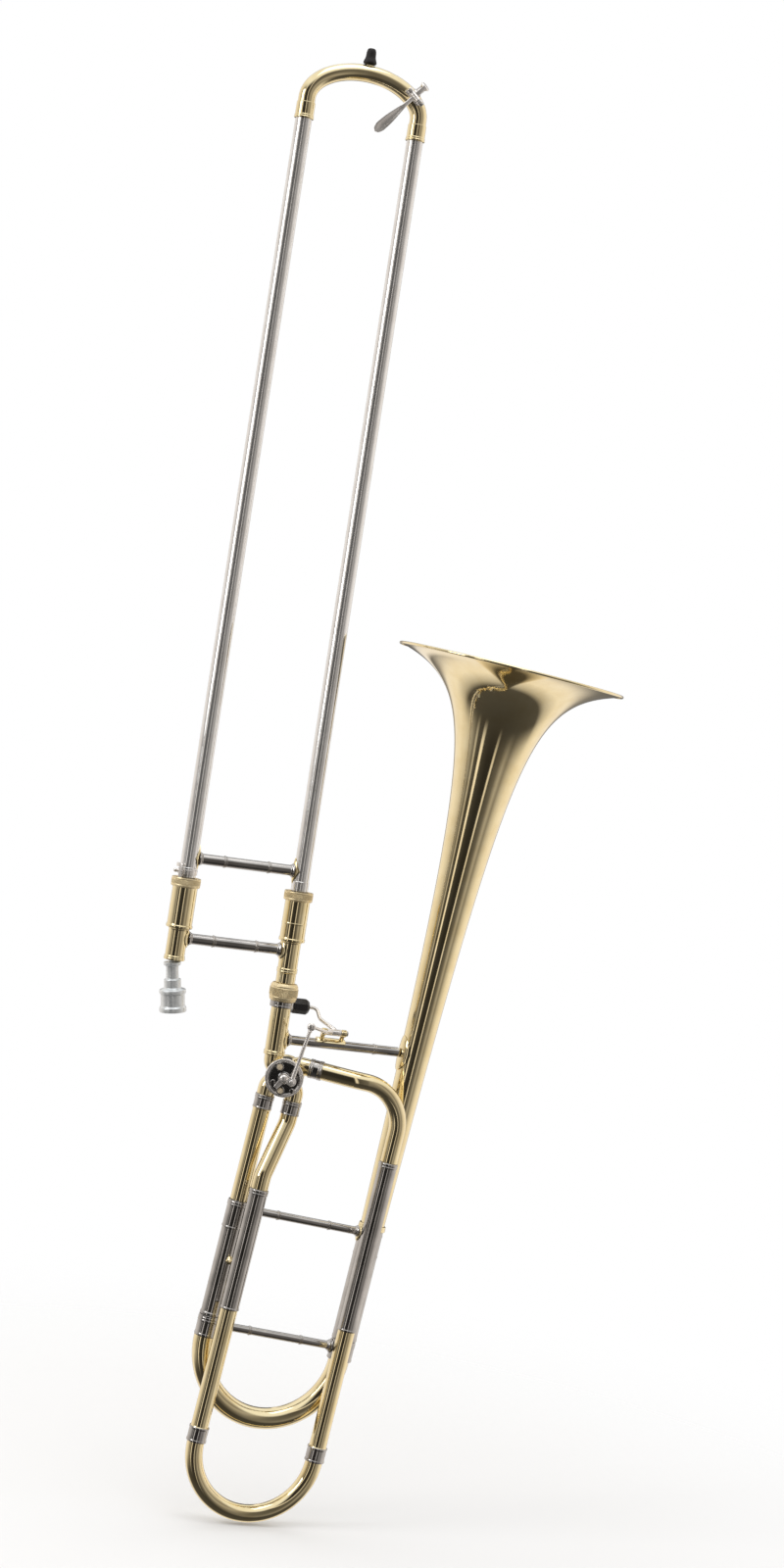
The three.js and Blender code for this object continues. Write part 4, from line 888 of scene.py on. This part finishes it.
outside, inside = [], []
LENGTH = RIM_Z - TAIL_Z
for k in range(121):
    d = LENGTH * (k / 120) ** 2.2
    r = bell_radius(d)
    slope = -FLARE_POWER * r / (d + FLARE_REACH)
    across = WALL / math.hypot(1, slope)
    outside.append(Vector((r, RIM_Z - d)))
    inside.append(Vector((r - across, RIM_Z - d - slope * across)))
bead = []
for k in range(13):
    a = math.radians(-100 + 215 * k / 12)
    bead.append(Vector((RIM_R - 0.55 + 1.3 * math.cos(a), RIM_Z + 0.05 + 1.3 * math.sin(a))))
profile = inside[::-1][:-3] + bead[::-1] + outside[2:]
profile = [p for i, p in enumerate(profile) if i == 0 or (p - profile[i - 1]).length > 0.02]
piece("bell_flare", revolve(profile, 160), BELL @ Matrix.Translation((BELL_X, 0, 0)), BRASS, "bell_section",
      ["bell"], sharp=50)
tail_band = [(11.15, -116), (12.0, -116), (12.2, -115.4), (12.2, -114.2), (11.8, -113.6), (12.0, -113),
             (11.9, -111.6), (11.3, -111.2)]
turned("bell_band", tail_band, BRASS, "bell_section", where=BELL, at=(BELL_X, 0, 0), r=0.25, segs=96)

# ---- Brace from the gooseneck to the bell, with the lever bracket on it ----
NECK_Z = -43
parts = [
    sweep(straight((9.5, 0, NECK_Z), (111.5, 0, NECK_Z)), 4.1, None, 40),
    ring_on((87.4, 0, NECK_Z), (90.6, 0, NECK_Z), 4.8, 0.8),
    ring_on((89.4, 0, NECK_Z), (92.6, 0, NECK_Z), 4.45, 0.6),
]
cup = [(0, 0), (6.2, 0), (6.0, 0.9), (5.0, 1.7), (4.6, 2.8), (4.1, 3.4), (0, 3.4)]
parts.append(moved(lathe(cup, segs=40), Matrix.Translation((9.7, 0, NECK_Z)) @ ALONG_X))
piece("neck_brace", bars(*parts), ROW, NICKEL, "bell_section", ["bell_brace"])
piece("neck_brace_plate", plate_on_tube(RIGHT, NECK_Z, 8.7, 1, 8.5, 9.0, 1.2), ROW, BRASS, "bell_section")
piece("bell_plate", plate_on_tube(BELL_X, 41.4, 13.7, -1, 12.5, 15.5, 1.15, 1.1), BELL, BRASS, "bell_section",
      ["bell_brace_flange"])
for label, a, ra, b, rb in (
    ("left", Vector((MAIN_X, 0, -165)), 8.6, Vector((F_L, F_Y, -165)), 8.1),
    ("right", Vector((BELL_X, 0, -165)), 10.8, Vector((F_R, F_Y, -165)), 8.1),
):
    way = (b - a).normalized()
    start, end = a + way * (ra - 0.6), b - way * (rb - 0.6)
    stay = straight(start, end, 12)
    swept(f"f_stay_tube_{label}", stay, lambda f: 2.7 + 1.3 * (2 * f - 1) ** 2, BRASS, "bell_section",
          [f"f_stay_{label}"], where=BELL, sides=36)

# ---- Thumb lever ----
HY, HZ = -8, -31
posts = []
for x0, x1 in ((37.4, 41.7), (55.3, 59.6)):
    ear = lathe(shell(3.1, 1.35, 0, x1 - x0), 0.4, 40)
    posts.append(moved(ear, Matrix.Translation((x0, HY, HZ)) @ ALONG_X))
    middle = (x0 + x1) / 2
    leg = straight((middle, -2.2, -39.4), (middle, HY + 2.2, HZ - 2.4), 6)
    posts.append(sweep(leg, lambda f: 2.2 - 0.3 * math.sin(math.pi * f), None, 24))
foot = []
for k in range(15):
    a = math.radians(20 + 140 * k / 14)
    foot.append((-math.cos(a), math.sin(a)))
saddle_verts, saddle_faces = [], []
for i, x in enumerate((35.5, 36.2, 60.8, 61.5)):
    inset = 0.4 if i in (0, 3) else 0.0
    for rr in (4.35, 5.75 - inset):
        saddle_verts.extend((x, u * rr, NECK_Z + v * rr) for u, v in foot)
rows = len(foot)
for i in range(3):
    base, nxt = i * 2 * rows, (i + 1) * 2 * rows
    for k in range(rows - 1):
        saddle_faces.append((base + k, base + k + 1, nxt + k + 1, nxt + k))
        saddle_faces.append((base + rows + k, base + rows + k + 1, nxt + rows + k + 1, nxt + rows + k))
    for k in (0, rows - 1):
        saddle_faces.append((base + k, base + rows + k, nxt + rows + k, nxt + k))
for base in (0, 6 * rows):
    for k in range(rows - 1):
        saddle_faces.append((base + k, base + k + 1, base + rows + k + 1, base + rows + k))
piece("lever_stand", bars((saddle_verts, saddle_faces), *posts), ROW, BRASS, "bell_section", ["lever_bracket"])
HINGE = Matrix.Translation((0, HY, HZ)) @ ALONG_X
pin = lathe([(0, 36.6), (1.05, 36.6), (1.05, 60), (2.2, 60), (2.2, 61.2), (0, 61.2)], 0.25, 32)
piece("lever_pin", moved(pin, HINGE), ROW, STEEL, "bell_section", ["lever_hinge_pin"])

ball_arm = bent([(45.5, -10, -31), (38.5, -17.5, -30.2), BALL], [8], 12)
pad_y, pad_z = 16, -14.8
paddle = bent([(49.5, -6.8, -29), (38.6, 8, -22.8), (36.8, pad_y, pad_z), (22.4, pad_y, pad_z)], [6, 5], 14)
lever = bars(
    moved(lathe(shell(2.9, 1.35, 42.2, 54.8), 0.4, 48), HINGE),
    sweep(ball_arm, lambda f: 1.75 - 0.5 * f, None, 28),
    sweep(paddle, lambda f: 1.75 - 0.35 * f, None, 28),
    ball_part(BALL, 2.6),
)
piece("lever_arm", lever, ROW, SATIN_NICKEL_PAINTED_LIGHT, "thumb_lever", ["thumb_lever"])
pad = [(0, 13.6), (6.2, 13.6), (6.7, 14.2), (6.8, 26.3), (6.5, 27), (4.6, 29.2), (1.9, 29.2), (1.9, 21.3),
       (0, 21.3)]
EIGHTH = math.pi / 4


def eight_sided(a, r, h):
    """Flattens a turned profile to eight sides."""
    return r * (math.cos(EIGHTH / 2) / math.cos((a % EIGHTH) - EIGHTH / 2) - 0.96) if r > 2.5 else 0


turned("lever_pad", pad, BLACK, "thumb_lever", ["thumb_pad"], at=(0, pad_y, pad_z),
       way=ALONG_X @ Matrix.Rotation(EIGHTH / 2, 4, "Z"), r=0.5, segs=96, ripple=eight_sided)

# ---- Studio ----
low, high = cad_bounds
world = bpy.data.worlds.new("studio")
bpy.context.scene.world = world
world.use_nodes = True
n = Nodes(world.node_tree)
world.node_tree.nodes.clear()
AZ = math.radians(-17)
BACK = Vector((math.sin(AZ), -math.cos(AZ), 0))
SIDE = Vector((math.cos(AZ), math.sin(AZ), 0))


def dot(direction):
    node = n.add("ShaderNodeVectorMath", operation="DOT_PRODUCT")
    n.link(n.add("ShaderNodeTexCoord").outputs["Generated"], node.inputs[0])
    node.inputs[1].default_value = direction
    return node.outputs["Value"]


def math_node(kind, a, b):
    node = n.add("ShaderNodeMath", operation=kind)
    for i, v in enumerate((a, b)):
        if isinstance(v, (int, float)):
            node.inputs[i].default_value = v
        else:
            n.link(v, node.inputs[i])
    return node.outputs[0]


def tint(value):
    """A slightly warm grey."""
    blue = 0.88
    return (value, value * (1 + blue) / 2, value * blue)


angle = math_node("ARCTAN2", dot(SIDE), dot(BACK))
share = math_node("ADD", math_node("DIVIDE", angle, 2 * math.pi), 0.5)
# A pale room that is dark on the camera's side, with thin upright strip lights. The angles are degrees
# round the object from the camera, positive to its right.
room = ramp(n, share, [(0.5 + degrees / 360, tint(tone)) for degrees, tone in (
    (-176, 0.12), (-174, 0.9), (-171, 0.9), (-169, 0.16), (-162, 0.30), (-152, 0.92), (-118, 0.90), (-94, 0.72),
    (-76, 0.42), (-62, 0.13), (-60, 0.5), (-56, 0.5), (-54, 0.09), (-42, 0.05), (-40, 1.0), (-34, 1.0), (-32, 0.06),
    (-12, 0.03), (5, 0.025), (7, 0.8), (11, 0.8), (13, 0.07), (32, 0.14), (46, 0.42), (58, 0.24), (74, 0.56),
    (96, 0.85), (120, 0.96), (152, 0.92), (164, 0.26), (178, 0.10),
)])
under = ramp(n, math_node("ADD", math_node("MULTIPLY", dot(BACK), 0.5), 0.5),
             [(0.22, tint(0.92)), (0.36, tint(0.5)), (0.44, tint(0.08)), (1.0, tint(0.04))])
steep = ramp(n, math_node("MULTIPLY", dot(Vector((0, 0, 1))), -1), [(0.32, grey(0)), (0.66, grey(1))], "EASE")
above = ramp(n, dot(Vector((0, 0, 1))), [(0.42, grey(0)), (0.72, grey(1))], "EASE")


def blend(factor, first, second):
    """A colour mix inside the world."""
    node = n.add("ShaderNodeMix", data_type="RGBA")
    colours = [socket for socket in node.inputs if socket.type == "RGBA"]
    n.link(factor, node.inputs["Factor"])
    n.link(first, colours[0])
    if isinstance(second, tuple):
        colours[1].default_value = second
    else:
        n.link(second, colours[1])
    return [socket for socket in node.outputs if socket.type == "RGBA"][0]


room = blend(steep, room, under)
room = blend(above, room, (0.95, 0.95, 0.95, 1))
lit = n.add("ShaderNodeBackground", Strength=1.08)
n.link(room, lit.inputs[0])
seen = n.add("ShaderNodeBackground", Color=(1, 1, 1, 1), Strength=1.0)
path = n.add("ShaderNodeLightPath")
either = n.add("ShaderNodeMixShader")
n.link(path.outputs["Is Camera Ray"], either.inputs[0])
n.link(lit.outputs[0], either.inputs[1])
n.link(seen.outputs[0], either.inputs[2])
out = n.add("ShaderNodeOutputWorld")
n.link(either.outputs[0], out.inputs[0])
bpy.context.scene.view_settings.view_transform = "Standard"


def floor():
    """A pale floor that fades out with distance, so it meets the pale room without a line."""
    half = 1.6
    z = low[2] - 0.002
    cx, cy = (low[0] + high[0]) / 2, (low[1] + high[1]) / 2
    mesh = bpy.data.meshes.new("studio_floor")
    corners = [(-1, -1), (1, -1), (1, 1), (-1, 1)]
    mesh.from_pydata([(cx + u * half, cy + v * half, z) for u, v in corners], [], [(0, 1, 2, 3)])
    obj = new_object("studio_floor", mesh)
    mat, f, bsdf = new_material("studio_floor_look")
    bsdf.inputs["Roughness"].default_value = 0.9
    bsdf.inputs["Specular IOR Level"].default_value = 0.0
    bsdf.inputs["Base Color"].default_value = (0.93, 0.93, 0.93, 1)
    coord = f.add("ShaderNodeTexCoord").outputs["Object"]
    away = f.add("ShaderNodeVectorMath", operation="DISTANCE")
    f.link(coord, away.inputs[0])
    away.inputs[1].default_value = (cx, cy, z)
    fade = ramp(f, away.outputs["Value"], [(0.25, grey(0.85)), (0.95, grey(0.0))], "EASE")
    clear = f.add("ShaderNodeBsdfTransparent")
    both = f.add("ShaderNodeMixShader")
    f.link(fade, both.inputs[0])
    f.link(clear.outputs[0], both.inputs[1])
    f.link(bsdf.outputs[0], both.inputs[2])
    f.link(both.outputs[0], mat.node_tree.nodes["Material Output"].inputs[0])
    mesh.materials.append(mat)
    obj.visible_glossy = False


floor()


def softbox(name, at, towards, width, height, power):
    light = bpy.data.lights.new(name, "AREA")
    light.shape = "RECTANGLE"
    light.size, light.size_y, light.energy = width, height, power
    obj = new_object(name, light)
    obj.location = at
    obj.rotation_euler = (Vector(towards) - Vector(at)).to_track_quat("-Z", "Y").to_euler()


centre = (Vector(low) + Vector(high)) / 2
softbox("softbox_left", centre - SIDE * 2.2 + BACK * 1.3 + Vector((0, 0, 0.9)), centre, 0.9, 1.6, 16)
softbox("softbox_top", centre + Vector((0, 0, 2.6)) + BACK * 0.4, centre, 1.6, 1.6, 12)

# ---- Camera: the view leans about the line of sight ----
ROLL = math.radians(8.77)
DISTANCE = 2.5755
AIM = (48.23, 0, 318.12)
UP0 = Vector((0, 0, 1))
cam_right = SIDE * math.cos(ROLL) + UP0 * math.sin(ROLL)
cam_up = UP0 * math.cos(ROLL) - SIDE * math.sin(ROLL)
camera = bpy.data.cameras.new("camera")
camera.lens = 67.5
camera.sensor_width = 36
camera.shift_y = -0.09375
cam = new_object("camera", camera)
place = Matrix((cam_right, cam_up, BACK)).transposed().to_4x4()
place.translation = ROW @ Vector(AIM) + BACK * DISTANCE
cam.matrix_world = place
bpy.context.scene.camera = cam
